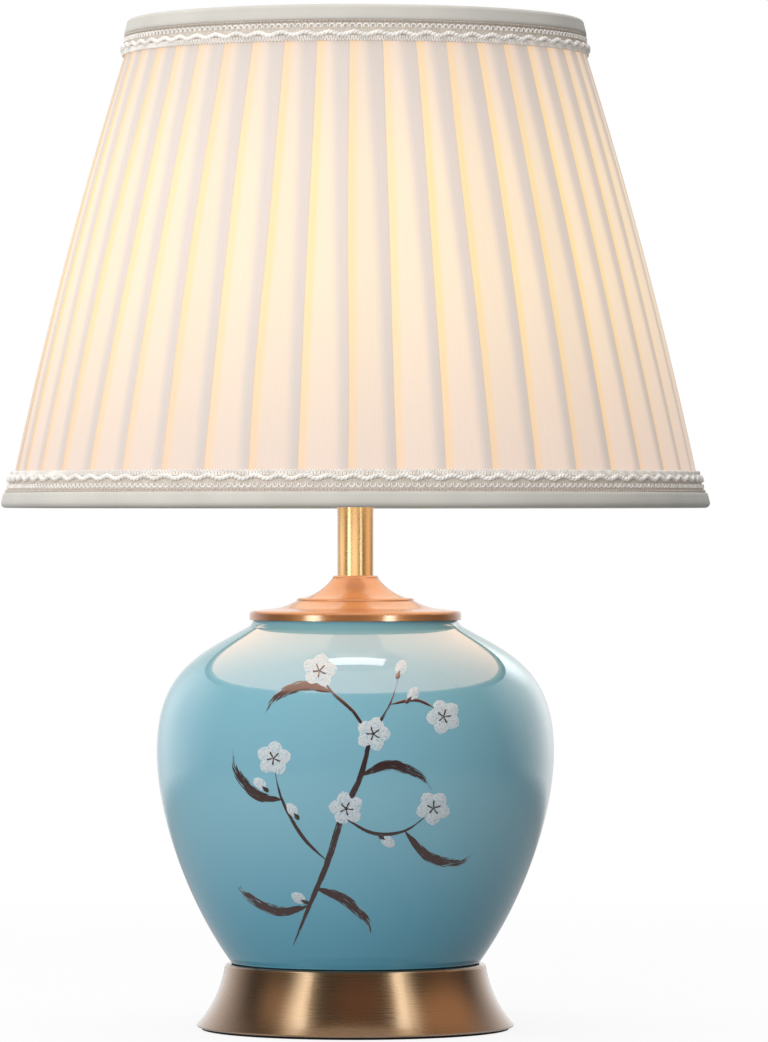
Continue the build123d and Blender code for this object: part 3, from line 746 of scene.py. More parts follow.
class LAMP_OT_braids(bpy.types.Operator):
    """Lays a scroll braid beside each binding"""

    bl_idname = "lamp.braids"
    bl_label = "Braids"
    # How far the ground's back and the thinnest part of its face stand off the folds.
    ground_back, ground_face = 0.3 * MM, 0.6 * MM
    # How far the loops are set back from the binding's face.
    set_back = 0.3 * MM

    def execute(self, context):
        shade, trim = context.scene.lamp_shade, context.scene.lamp_trim
        ground_finish = braid_ground_material(context.scene.lamp_finishes)
        yarn_finish = braid_yarn_material(context.scene.lamp_finishes)
        tree = yarn_tree()
        for rim, into in (("bottom", 1), ("top", -1)):
            node = f"{rim}_braid"
            low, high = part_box(node)
            near, far = (low.z, high.z) if into > 0 else (high.z, low.z)
            yarn_room = 2 * trim.scroll_yarn
            section, opens = [], []
            for share in np.linspace(0.03, 0.97, 9):
                z = near + (far - near) * share
                proud = trim.binding_proud + (trim.braid_edge - trim.binding_proud) * share
                proud += 4 * trim.braid_bulge * share * (1 - share) - yarn_room
                section.append((crest_radius(shade, z) + max(proud, self.ground_face), z))
                opens.append(min(max((share - 0.66) / 0.2, 0.0), 1.0))
            opens += reversed(opens)
            section += [(crest_radius(shade, z) + self.ground_back, z) for _, z in reversed(section)]
            steps = 240
            vertices = []
            for step in range(steps):
                turn = math.tau * step / steps
                vertices += [(r * math.cos(turn), r * math.sin(turn), z) for r, z in section]
            faces = ring_faces(steps, len(section), closed_rows=True)
            if into < 0:
                faces = [tuple(reversed(face)) for face in faces]
            ground = new_piece(f"{node}_ground", vertices, faces, "shade", ground_finish)
            spread(ground.data, "open_edge", opens * steps)
            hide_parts(node)
            near_radius = crest_radius(shade, near) + trim.binding_proud - trim.loop_yarn - self.set_back
            far_radius = crest_radius(shade, far) + trim.braid_edge - trim.picot_yarn
            round_length = math.pi * (near_radius + far_radius)
            grown(f"{node}_yarn", tree, {
                "Near Radius": near_radius,
                "Near Height": near,
                "Far Radius": far_radius,
                "Far Height": far,
                "Bulge": trim.braid_bulge - 0.4 * trim.scroll_yarn,
                "Picots": round(round_length / trim.picot_pitch),
                "Loops": round(round_length / trim.loop_pitch),
                "Waves": round(round_length / trim.scroll_pitch),
                "Picot Yarn": trim.picot_yarn,
                "Loop Yarn": trim.loop_yarn,
                "Scroll Yarn": trim.scroll_yarn,
                "Yarn": yarn_finish,
                "Ground": ground_finish,
            }, "shade")
        return {"FINISHED"}


# Porcelain under a clear gloss glaze over sprayed pale blue: deep, even colour with a sharp reflection on
# top, and a little deeper blue towards the foot.
def glaze_material(finishes):
    material, tree, shader, place = new_material("glazed porcelain")
    low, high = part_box("vase")
    height = add(tree, "ShaderNodeSeparateXYZ", {0: place}).outputs["Z"]
    depth = add(
        tree,
        "ShaderNodeMapRange",
        {"Value": height, "From Min": low.z, "From Max": (low.z + high.z) / 2, "To Min": 1.0, "To Max": 0.0},
        interpolation_type="SMOOTHSTEP",
    )
    cloud = add(tree, "ShaderNodeTexNoise", {"Vector": place, "Scale": 1 / (60 * MM), "Detail": 3.0})
    drift = add(tree, "ShaderNodeMath", {0: cloud, 1: 0.25, 2: depth}, operation="MULTIPLY_ADD")
    share = add(tree, "ShaderNodeMath", {0: drift, 1: 0.12}, operation="SUBTRACT", use_clamp=True)
    tint = add(
        tree,
        "ShaderNodeMix",
        {0: share, 6: opaque(finishes.glaze), 7: opaque(finishes.glaze_deep)},
        data_type="RGBA",
    )
    # Orange peel of the fired glaze, about 8 mm wide and very shallow.
    peel = add(tree, "ShaderNodeTexNoise", {"Vector": place, "Scale": 1 / (8 * MM), "Detail": 1.0})
    bump = add(tree, "ShaderNodeBump", {"Height": peel, "Strength": 0.03, "Distance": 0.2 * MM})
    feed(tree, shader, {
        "Base Color": tint,
        "Roughness": 0.5,
        # The clear glaze on top does all the mirroring.
        "Specular IOR Level": 0.0,
        "Coat Weight": 1.0,
        "Coat Roughness": 0.04,
        "Coat IOR": 1.5,
        "Coat Normal": bump,
    })
    return material


# Iron-brown overglaze enamel laid on with a brush: solid along the middle of a stroke, and broken into
# bristle streaks at its sides and where the brush runs dry, so that the blue shows through.
def stroke_material(finishes):
    material, tree, shader, _ = new_material("brushed iron enamel")
    along = add(tree, "ShaderNodeAttribute", attribute_name="along_mm").outputs["Fac"]
    across = add(tree, "ShaderNodeAttribute", attribute_name="across_mm").outputs["Fac"]
    dry = add(tree, "ShaderNodeAttribute", attribute_name="dry").outputs["Fac"]
    # Bristle streaks are 0.3 mm apart and 6 mm long, drawn at 0.6 mm so that they show.
    streak_along = add(tree, "ShaderNodeMath", {0: along, 1: 6.0}, operation="DIVIDE")
    streak_across = add(tree, "ShaderNodeMath", {0: across, 1: 0.6}, operation="DIVIDE")
    streak_place = add(tree, "ShaderNodeCombineXYZ", {"X": streak_along, "Y": streak_across})
    bristle = add(tree, "ShaderNodeTexNoise", {"Vector": streak_place, "Scale": 1.0, "Detail": 3.0})
    worn = add(tree, "ShaderNodeMath", {0: dry, 1: 0.3, 2: bristle}, operation="MULTIPLY_ADD")
    bare = add(tree, "ShaderNodeMapRange", {"Value": worn, "From Min": 0.68, "From Max": 0.8, "To Max": 0.9})
    tint = add(
        tree,
        "ShaderNodeMix",
        {0: bare, 6: opaque(finishes.stroke), 7: opaque(finishes.glaze)},
        data_type="RGBA",
    )
    feed(tree, shader, {
        "Base Color": tint,
        "Roughness": 0.45,
        "Coat Weight": 0.5,
        "Coat Roughness": 0.15,
    })
    return material


# White slip, dabbed on thick: grainy, with flecks of the blue between the grains.
def slip_material(finishes):
    material, tree, shader, place = new_material("dabbed white slip")
    # Grains are 0.5 mm across, drawn at 0.8 mm so that they show.
    grain = add(tree, "ShaderNodeTexNoise", {"Vector": place, "Scale": 1 / (0.8 * MM), "Detail": 3.0})
    fleck = add(
        tree, "ShaderNodeMapRange", {"Value": grain, "From Min": 0.5, "From Max": 0.62, "To Max": 0.75}
    )
    tint = add(
        tree,
        "ShaderNodeMix",
        {0: fleck, 6: opaque(finishes.slip), 7: opaque(finishes.glaze)},
        data_type="RGBA",
    )
    bump = add(tree, "ShaderNodeBump", {"Height": grain, "Strength": 0.6, "Distance": 0.3 * MM})
    feed(tree, shader, {"Base Color": tint, "Roughness": 0.6, "Normal": bump})
    return material


# A blossoming branch, drawn as it is seen from the front: (across, up) in millimetres from the jar's middle.
# A blossom or a bud also has its turn. The sizes of the strokes are in millimetres too.
BRANCH_WIDTH, TWIG_WIDTH, STAMEN_WIDTH, CALYX_WIDTH = 3.2, 1.8, 0.7, 2.2
STAMEN, CALYX_BACK, CALYX_FRONT = 3, 2, 2.2
BRANCH = ((-30, -74), (-22, -54), (-13, -32), (-6, -10), (3, 10), (8, 28), (17, 44), (21, 56))
TWIGS = (
    ((-13, -32), (-25, -20), (-35, -2), (-39, 15)),
    ((-6, -10), (9, -18), (24, -17), (37, -8)),
    ((8, 28), (-1, 41), (-11, 50), (-16, 58)),
    ((17, 44), (30, 46), (42, 40)),
)
LEAVES = (
    ((-22, -54), (-37, -57), (-52, -50), (-58, -43)),
    ((24, -17), (36, -30), (50, -33), (57, -29)),
    ((3, 10), (17, 15), (31, 10), (37, 3)),
    ((-35, -2), (-47, 0), (-57, 11), (-59, 21)),
    ((-11, 50), (-24, 53), (-37, 48), (-44, 39)),
    ((-19, -45), (-6, -50), (5, -60), (8, -68)),
)
BLOSSOMS = ((-39, 18, 0.2), (38, -6, 0.9), (-4, -6, 0.5), (-17, 60, 1.4), (9, 30, 0.0), (43, 38, 0.7))
BUDS = ((-28, -10, 2.2), (21, 58, 1.2), (-24, -52, 2.6), (26, 46, 0.9), (-43, 3, 2.4), (13, -20, -0.6))


def eased(points, steps):
    """A smooth line through given points (Catmull-Rom)."""
    line = [np.array(p, float) for p in points]
    line = [2 * line[0] - line[1], *line, 2 * line[-1] - line[-2]]
    made = []
    for a, b, c, d in zip(line, line[1:], line[2:], line[3:]):
        for t in np.linspace(0, 1, steps, endpoint=False):
            square, cube = 2 * a - 5 * b + 4 * c - d, 3 * b - a - 3 * c + d
            made.append(0.5 * (2 * b + (c - a) * t + square * t ** 2 + cube * t ** 3))
    made.append(line[-2])
    return np.array(made)


class Painting:
    """Collects patches of paint on the jar and lays each on the CAD jar's own surface."""

    # How far the thin edge of a stroke stands on the glaze.
    edge = 0.02 * MM

    def __init__(self):
        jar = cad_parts["vase"].data
        self.surface = BVHTree.FromPolygons(
            [v.co.copy() for v in jar.vertices], [tuple(p.vertices) for p in jar.polygons]
        )
        low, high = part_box("vase")
        self.middle = (low.z + high.z) / 2
        self.front = low.y
        self.vertices, self.faces = [], []
        self.along, self.across, self.dry = [], [], []

    def patch(self, grid, heights, marks):
        """Adds a grid of (across, up) points in millimetres, each with its height on the glaze in metres and
        its place in the stroke: how far along, how far from the middle and how dry the brush is."""
        start = len(self.vertices)
        rows, columns = len(grid), len(grid[0])
        for line, height_line, mark_line in zip(grid, heights, marks):
            for (across, up), height, mark in zip(line, height_line, mark_line):
                seen = Vector((across * MM, 2 * self.front, self.middle + up * MM))
                spot, normal, _, _ = self.surface.ray_cast(seen, Vector((0, 1, 0)))
                if spot is None:
                    raise RuntimeError("a brush stroke misses the jar")
                outward = Vector((spot.x, spot.y, 0)).normalized()
                normal = normal if normal.dot(outward) > 0 else -normal
                self.vertices.append(spot + normal * height)
                for kept, value in zip((self.along, self.across, self.dry), mark):
                    kept.append(value)
        for row in range(rows - 1):
            for column in range(columns - 1):
                corner = start + row * columns + column
                self.faces.append((corner, corner + columns, corner + columns + 1, corner + 1))

    def stroke(self, points, width, height, steps=9, dry_end=1.0):
        """A brush stroke: thin where it starts and ends, full between, with more pressure early on. The brush
        runs dry towards the end."""
        line = eased(points, steps)
        grid, heights, marks = [], [], []
        run = 0.0
        # Each stroke has its own stretch of the bristle pattern.
        offset = 10.0 * len(self.vertices)
        for i, spot in enumerate(line):
            ahead = line[min(i + 1, len(line) - 1)] - line[max(i - 1, 0)]
            run += np.linalg.norm(spot - line[max(i - 1, 0)])
            side = np.array((-ahead[1], ahead[0])) / max(np.linalg.norm(ahead), 1e-9)
            share = i / (len(line) - 1)
            half = width / 2 * max(math.sin(math.pi * share ** 0.75), 0.06)
            parts = (-1, -0.8, -0.45, 0, 0.45, 0.8, 1)
            grid.append([spot + side * half * part for part in parts])
            heights.append([self.edge if abs(part) == 1 else height for part in parts])
            marks.append([
                (offset + run, half * part, 0.7 * abs(part) ** 3 + dry_end * share ** 2) for part in parts
            ])
        self.patch(grid, heights, marks)

    def dab(self, across, up, turn, long, wide, height):
        """One petal: a rounded oval, thickest in its middle."""
        grid, heights, marks = [], [], []
        for share in np.linspace(0, 1, 9):
            half = wide / 2 * math.sin(math.pi * min(share ** 0.9, 1.0)) ** 0.55 if 0 < share < 1 else 0.05
            line, rise = [], []
            for part in (-1, -0.6, 0, 0.6, 1):
                x, y = long * share, half * part
                line.append((across + x * math.cos(turn) - y * math.sin(turn),
                             up + x * math.sin(turn) + y * math.cos(turn)))
                rise.append(self.edge + height * (1 - part ** 2) * math.sin(math.pi * share))
            grid.append(line)
            heights.append(rise)
            marks.append([(0.0, 0.0, 0.0)] * 5)
        self.patch(grid, heights, marks)

    def finish(self, name, material):
        """Makes the collected patches one piece."""
        piece = new_piece(name, self.vertices, self.faces, "stand", material)
        spread(piece.data, "along_mm", self.along)
        spread(piece.data, "across_mm", self.across)
        spread(piece.data, "dry", self.dry)
        return piece


class LAMP_OT_jar(bpy.types.Operator):
    """Glazes the jar and paints a blossoming branch on it"""

    bl_idname = "lamp.jar"
    bl_label = "Jar and Brushwork"

    def execute(self, context):
        sizes, finishes = context.scene.lamp_brushwork, context.scene.lamp_finishes
        dress(glaze_material(finishes), "vase")
        petal = sizes.petal / MM
        dark, white = Painting(), Painting()
        dark.stroke(BRANCH, BRANCH_WIDTH, sizes.paint_height, dry_end=0.4)
        for twig in TWIGS:
            dark.stroke(twig, TWIG_WIDTH, sizes.paint_height, dry_end=0.3)
        for leaf in LEAVES:
            dark.stroke(leaf, sizes.leaf_width / MM, sizes.paint_height)
        for across, up, turn in BLOSSOMS:
            for spoke in range(5):
                white.dab(across, up, turn + math.tau * spoke / 5, petal, petal * 0.9, sizes.slip_height)
            for spoke in range(5):
                angle = turn + math.tau * (spoke + 0.5) / 5
                tip = (across + STAMEN * math.cos(angle), up + STAMEN * math.sin(angle))
                anther = (tip[0] + 0.5, tip[1] + 0.5)
                stamen = ((across, up), tip, anther)
                dark.stroke(stamen, STAMEN_WIDTH, sizes.slip_height * 1.4, steps=3, dry_end=0.0)
        for across, up, turn in BUDS:
            white.dab(across, up, turn, petal * 0.9, petal * 0.62, sizes.slip_height)
            back = (across - CALYX_BACK * math.cos(turn), up - CALYX_BACK * math.sin(turn))
            front = (across + CALYX_FRONT * math.cos(turn), up + CALYX_FRONT * math.sin(turn))
            dark.stroke((back, (across, up), front), CALYX_WIDTH, sizes.slip_height, steps=4, dry_end=0.0)
        white.finish("blossom_slip", slip_material(finishes))
        dark.finish("branch_brushwork", stroke_material(finishes))
        return {"FINISHED"}


# Spun brass, brushed on the lathe, antiqued and lacquered: brown patches, and fine rings that draw the light
# into upright streaks.
def antique_brass_material(finishes):
    material, tree, shader, place = new_material("brushed antique brass")
    # The rings are 0.1 mm apart, drawn at 0.3 mm so that they show, and run on round the foot.
    rings_place = add(tree, "ShaderNodeMapping", {"Vector": place, "Scale": (6, 6, 1 / (0.3 * MM))})
    rings = add(tree, "ShaderNodeTexNoise", {"Vector": rings_place, "Scale": 1.0, "Detail": 3.0})
    patina = add(tree, "ShaderNodeTexNoise", {"Vector": place, "Scale": 1 / (25 * MM), "Detail": 4.0})
    brown = add(
        tree,
        "ShaderNodeMix",
        {0: patina, 6: opaque(finishes.antique), 7: opaque(finishes.patina)},
        data_type="RGBA",
    )
    tone = add(tree, "ShaderNodeMapRange", {"Value": rings, "From Min": 0.3, "From Max": 0.7, "To Min": 0.96})
    tint = add(tree, "ShaderNodeMix", {0: 1.0, 6: brown, 7: tone}, data_type="RGBA", blend_type="MULTIPLY")
    rough = add(
        tree,
        "ShaderNodeMapRange",
        {"Value": rings, "From Min": 0.3, "From Max": 0.7, "To Min": 0.25, "To Max": 0.3},
    )
    bump = add(tree, "ShaderNodeBump", {"Height": rings, "Strength": 0.008, "Distance": 0.1 * MM})
    tangent = add(tree, "ShaderNodeTangent", direction_type="RADIAL", axis="Z")
    feed(tree, shader, {
        "Base Color": tint,
        "Metallic": 1.0,
        "Roughness": rough,
        "Anisotropic": 0.6,
        "Anisotropic Rotation": 0.25,
        "Tangent": tangent,
        "Normal": bump,
        "Coat Weight": 1.0,
        "Coat Roughness": 0.2,
        # A lacquer's 1.5, raised until the foot mirrors as strongly as the real one.
        "Coat IOR": 2.1,
    })
    return material


# Brass, spun or drawn, polished and lacquered: brighter and more even than the foot, with a soft bright line.
def polished_brass_material(name, brass, roughness):
    material, tree, shader, place = new_material(name)
    # The marks of the polishing are drawn as rings 0.4 mm apart.
    rings_place = add(tree, "ShaderNodeMapping", {"Vector": place, "Scale": (6, 6, 1 / (0.4 * MM))})
    rings = add(tree, "ShaderNodeTexNoise", {"Vector": rings_place, "Scale": 1.0, "Detail": 2.0})
    cloud = add(tree, "ShaderNodeTexNoise", {"Vector": place, "Scale": 1 / (15 * MM), "Detail": 3.0})
    tone = add(tree, "ShaderNodeMapRange", {"Value": cloud, "From Min": 0.3, "From Max": 0.7, "To Min": 0.88})
    tint = add(
        tree,
        "ShaderNodeMix",
        {0: 1.0, 6: opaque(brass), 7: tone},
        data_type="RGBA",
        blend_type="MULTIPLY",
    )
    smoothest, roughest = roughness - 0.02, roughness + 0.02
    rough = add(
        tree,
        "ShaderNodeMapRange",
        {"Value": rings, "From Min": 0.3, "From Max": 0.7, "To Min": smoothest, "To Max": roughest},
    )
    bump = add(tree, "ShaderNodeBump", {"Height": rings, "Strength": 0.002, "Distance": 0.1 * MM})
    tangent = add(tree, "ShaderNodeTangent", direction_type="RADIAL", axis="Z")
    feed(tree, shader, {
        "Base Color": tint,
        "Metallic": 1.0,
        "Roughness": rough,
        "Anisotropic": 0.4,
        "Anisotropic Rotation": 0.25,
        "Tangent": tangent,
        "Normal": bump,
        "Coat Weight": 1.0,
        "Coat Roughness": 0.15,
        # A lacquer's 1.5, raised as on the foot.
        "Coat IOR": 1.9,
    })
    return material


def plain_material(name, colour_high, colour_low, grain, roughness, metallic=0.0):
    """A finish of two close tones in a fine grain, for pieces that are mostly out of sight."""
    material, tree, shader, place = new_material(name)
    noise = add(tree, "ShaderNodeTexNoise", {"Vector": place, "Scale": 1 / grain, "Detail": 3.0})
    tint = add(
        tree,
        "ShaderNodeMix",
        {0: noise, 6: opaque(linear(colour_high)), 7: opaque(linear(colour_low))},
        data_type="RGBA",
    )
    bump = add(tree, "ShaderNodeBump", {"Height": noise, "Strength": 0.05, "Distance": grain / 4})
    feed(tree, shader, {
        "Base Color": tint,
        "Roughness": roughness,
        "Metallic": metallic,
        "Normal": bump,
    })
    return material


# Needled felt: black, matt and fuzzy.
def felt_material():
    material, tree, shader, place = new_material("needled felt")
    fuzz = add(tree, "ShaderNodeTexNoise", {"Vector": place, "Scale": 1 / (0.8 * MM), "Detail": 4.0})
    tint = add(
        tree,
        "ShaderNodeMix",
        {0: fuzz, 6: opaque(linear("#14110F")), 7: opaque(linear("#2B2622"))},
        data_type="RGBA",
    )
    bump = add(tree, "ShaderNodeBump", {"Height": fuzz, "Strength": 0.6, "Distance": 0.4 * MM})
    feed(tree, shader, {"Base Color": tint, "Roughness": 1.0, "Sheen Weight": 0.2, "Normal": bump})
    return material


class LAMP_OT_brasswork(bpy.types.Operator):
    """Finishes the brass foot, cap and neck, and the pad and gaskets between them"""

    bl_idname = "lamp.brasswork"
    bl_label = "Brasswork"

    def execute(self, context):
        finishes = context.scene.lamp_finishes
        dress(antique_brass_material(finishes), "base_shell")
        dress(polished_brass_material("satin spun brass", finishes.satin, 0.5), "vase_cap")
        dress(polished_brass_material("polished drawn brass", finishes.polished, 0.28), "neck_tube")
        dress(felt_material(), "base_pad")
        # Foam rubber is dull and nearly black.
        foam = plain_material("foam gasket", "#2A2724", "#1B1917", 1.0 * MM, 0.95)
        dress(foam, "seat_gasket", "mouth_gasket")
        return {"FINISHED"}


# Opal glass with the light on: warm white, deeper towards the outline where the eye looks along the glass.
def opal_material():
    material, tree, shader, _ = new_material("lit opal glass")
    along = add(tree, "ShaderNodeLayerWeight", {"Blend": 0.35}).outputs["Facing"]
    warm = add(
        tree,
        "ShaderNodeMix",
        {0: along, 6: opaque(linear("#FFF0CE")), 7: opaque(linear("#F2BE74"))},
        data_type="RGBA",
    )
    feed(tree, shader, {
        "Base Color": opaque(linear("#9C968C")),
        "Roughness": 0.25,
        "Emission Color": warm,
        "Emission Strength": 0.72,
    })
    return material


# Translucent liner sheet, lit by the bulb: cream, with a faint mottle.
def liner_material():
    material, tree, shader, place = new_material("translucent liner sheet")
    mottle = add(tree, "ShaderNodeTexNoise", {"Vector": place, "Scale": 1 / (12 * MM), "Detail": 3.0})
    warm = add(
        tree,
        "ShaderNodeMix",
        {0: mottle, 6: opaque(linear("#FFF0D8")), 7: opaque(linear("#FFE8C8"))},
        data_type="RGBA",
    )
    feed(tree, shader, {
        "Base Color": opaque(linear("#D8CFC0")),
        "Roughness": 0.6,
        "Emission Color": warm,
        "Emission Strength": 0.45,
    })
    return material


class LAMP_OT_holder(bpy.types.Operator):
    """Finishes the lampholder, the bulb, the shade's carrier and its liner"""

    bl_idname = "lamp.holder"
    bl_label = "Holder, Bulb and Carrier"

    def execute(self, context):
        # Zinc plate is pale grey and half bright.
        steel = plain_material("zinc plated steel", "#B4B4B0", "#9A9A98", 2.0 * MM, 0.35, 1.0)
        dress(steel, "foot_washer", "star_washer", "foot_nut", "threaded_rod", "holder_grub_screw")
        # Moulded phenolic is black with a low gloss, and the bushes' resin is a dull ivory.
        phenolic = plain_material("moulded phenolic", "#1B1918", "#121110", 1.5 * MM, 0.4)
        dress(phenolic, "holder_cup", "holder_shell", "shade_ring")
        dress(plain_material("moulded bush", "#CFC8BA", "#C2BBAC", 2.0 * MM, 0.6), "tube_bushes")
        # Fired without a glaze, porcelain is matt and off-white.
        dress(plain_material("unglazed porcelain", "#E4DFD4", "#D6D0C3", 1.0 * MM, 0.7), "holder_core")
        # Stamped brass is bright yellow, solder a dull grey, the bead shiny black and nickel a warm silver.
        stamped = plain_material("stamped brass", "#D9AE66", "#C4984F", 2.0 * MM, 0.3, 1.0)
        dress(stamped, "terminal_screws", "contact_leaf", "screw_shell")
        dress(plain_material("solder", "#B9B9BC", "#A2A2A6", 1.0 * MM, 0.4, 1.0), "bulb_tip")
        dress(plain_material("black glass bead", "#0E0E10", "#070708", 2.0 * MM, 0.1), "bulb_insulator")
        dress(plain_material("nickel plated cap", "#C9C7C2", "#B5B3AE", 1.5 * MM, 0.3, 1.0), "bulb_cap")
        # The lacquer on the wire is white with a soft gloss.
        lacquer = plain_material("white lacquered wire", "#E8E3D8", "#D9D3C6", 1.5 * MM, 0.35)
        dress(lacquer, "fitter_ring", "fitter_arms", "bottom_ring", "top_ring")
        dress(opal_material(), "bulb_glass")
        dress(liner_material(), "shade_lining")
        return {"FINISHED"}


def softbox(name, place, target, width, height, watts, tint="#FFFFFF", face=(1.0, 1.0)):
    """An area light that faces a target. The face gives its levels in the middle and at the edge."""
    data = bpy.data.lights.new(name, "AREA")
    data.shape = "RECTANGLE"
    data.size, data.size_y = width, height
    data.energy = watts
    data.color = linear(tint)
    data.use_nodes = True
    tree = data.node_tree
    spot = add(tree, "ShaderNodeNewGeometry").outputs["Parametric"]
    centred = add(tree, "ShaderNodeVectorMath", {0: spot, 1: (0.5, 0.5, 0)}, operation="SUBTRACT")
    away = add(tree, "ShaderNodeVectorMath", {0: centred}, operation="LENGTH")
    level = add(
        tree,
        "ShaderNodeMapRange",
        {"Value": away, "From Min": 0.1, "From Max": 0.5, "To Min": face[0], "To Max": face[1]},
        interpolation_type="SMOOTHSTEP",
    )
    feed(tree, tree.nodes["Emission"], {"Strength": level})
    lamp = bpy.data.objects.new(name, data)
    lamp.location = place
    lamp.rotation_euler = (Vector(target) - lamp.location).to_track_quat("-Z", "Y").to_euler()
    bpy.context.scene.collection.objects.link(lamp)
    return lamp


def around(turn, away, height):
    """A place round the lamp: degrees to the right of the camera, distance and height."""
    angle = math.radians(turn)
    return (away * math.sin(angle), -away * math.cos(angle), height)


class LAMP_OT_stage(bpy.types.Operator):
    """Sets the floor, the backdrop, the light and the camera"""

    bl_idname = "lamp.stage"
    bl_label = "Stage"
    # The point that the lights face, in the middle of the stand.
    aim = (0, 0, 0.22)

    def execute(self, context):
        sizes = context.scene.lamp_stage
        self.make_world(context, sizes)
        self.make_floor()
        self.make_lights(sizes)
        data = bpy.data.cameras.new("camera")
        data.lens = sizes.lens
        data.sensor_width = 36
        camera = bpy.data.objects.new("camera", data)
        camera.location = (sizes.aside, -sizes.distance, sizes.eye_height)
        camera.rotation_euler = (math.pi / 2, 0, 0)
        context.scene.collection.objects.link(camera)
        context.scene.camera = camera
        context.scene.view_settings.view_transform = "Standard"
        return {"FINISHED"}

    def make_world(self, context, sizes):
        """White where the camera looks. In reflections, white behind the lamp and a dim room in front of it.
        On matt surfaces, soft light that is stronger from the left."""
        world = bpy.data.worlds.new("studio")
        context.scene.world = world
        world.use_nodes = True
        tree = world.node_tree
        path = add(tree, "ShaderNodeLightPath").outputs
        way = add(tree, "ShaderNodeTexCoord").outputs["Generated"]
        apart = add(tree, "ShaderNodeSeparateXYZ", {0: way}).outputs
        back = add(tree, "ShaderNodeMath", {0: apart["X"], 1: -0.1, 2: apart["Y"]}, operation="MULTIPLY_ADD")
        room = add(
            tree,
            "ShaderNodeMapRange",
            {"Value": back, "From Min": 0.25, "From Max": 1.05, "To Min": 0.07, "To Max": 1.0},
            interpolation_type="SMOOTHSTEP",
        )
        even = add(
            tree,
            "ShaderNodeMath",
            {0: apart["X"], 1: -sizes.from_left, 2: sizes.ambient},
            operation="MULTIPLY_ADD",
        )
        soft = add(tree, "ShaderNodeMath", {0: even, 1: 0.0}, operation="MAXIMUM")
        mirrored = add(
            tree,
            "ShaderNodeMath",
            {0: path["Is Glossy Ray"], 1: path["Is Transmission Ray"]},
            operation="MAXIMUM",
        )
        seen = add(tree, "ShaderNodeMix", {0: mirrored, 2: soft, 3: room})
        level = add(tree, "ShaderNodeMix", {0: path["Is Camera Ray"], 2: seen, 3: 1.0})
        feed(tree, tree.nodes["Background"], {"Color": (1, 1, 1, 1), "Strength": level})

    def make_floor(self):
        """A white round of floor that keeps the lamp's shadow and fades into the white round it. Its image in
        the glaze and the brass fades with the distance, so that no horizon crosses the jar."""
        reach, steps, below_pad = 1.5, 96, 0.2 * MM
        mesh = bpy.data.meshes.new("floor")
        turns = [math.tau * step / steps for step in range(steps)]
        rim = [(reach * math.cos(turn), reach * math.sin(turn), 0) for turn in turns]
        mesh.from_pydata(rim, [], [tuple(range(steps))])
        material = bpy.data.materials.new("white studio floor")
        material.use_nodes = True
        tree = material.node_tree
        path = add(tree, "ShaderNodeLightPath").outputs
        place = add(tree, "ShaderNodeTexCoord").outputs["Object"]
        away = add(tree, "ShaderNodeVectorMath", {0: place}, operation="LENGTH")
        fade = add(
            tree,
            "ShaderNodeMapRange",
            {"Value": away, "From Min": 0.35 * reach, "From Max": 0.9 * reach},
            interpolation_type="SMOOTHSTEP",
        )
        near = add(
            tree,
            "ShaderNodeMapRange",
            {"Value": away, "From Min": 0.08, "From Max": 1.1, "To Min": 0.5, "To Max": 0.1},
            interpolation_type="SMOOTHSTEP",
        )
        mirrored = add(
            tree,
            "ShaderNodeMath",
            {0: path["Is Glossy Ray"], 1: path["Is Transmission Ray"]},
            operation="MAXIMUM",
        )
        image = add(tree, "ShaderNodeMath", {0: mirrored, 1: near}, operation="MULTIPLY")
        seen = add(tree, "ShaderNodeMath", {0: path["Is Camera Ray"], 1: image}, operation="MAXIMUM")
        share = add(tree, "ShaderNodeMath", {0: seen, 1: 0.6}, operation="MULTIPLY")
        paint = add(tree, "ShaderNodeBsdfDiffuse", {"Color": (0.25, 0.25, 0.25, 1)})
        white = add(tree, "ShaderNodeEmission", {"Color": (1, 1, 1, 1), "Strength": 1.47})
        mixed = add(tree, "ShaderNodeMixShader", {0: share, 1: paint, 2: white})
        clear = add(tree, "ShaderNodeBsdfTransparent")
        faded = add(tree, "ShaderNodeMixShader", {0: fade, 1: mixed, 2: clear})
        feed(tree, tree.nodes["Material Output"], {"Surface": faded})
        mesh.materials.append(material)
        floor = bpy.data.objects.new("floor", mesh)
        floor.location.z = -below_pad
        bpy.context.scene.collection.objects.link(floor)

    def make_lights(self, sizes):
        """Softboxes for the matt surfaces, strips and panels that the brass and the glaze mirror, and the
        light that comes out of the shade's mouth."""
        key = softbox("key", around(-14, 1.9, 0.8), self.aim, 1.2, 1.2, sizes.key_power)
        key.visible_glossy = False
        top = softbox("top", (0, 0, 2.2), self.aim, 2.0, 2.0, sizes.top_power)
        top.visible_glossy = False
        self.make_strips(sizes)
        jar = self.receivers("jar", "vase", "blossom_slip", "branch_brushwork")
        self.make_panels(sizes, jar)
        self.make_mouth(sizes, jar)

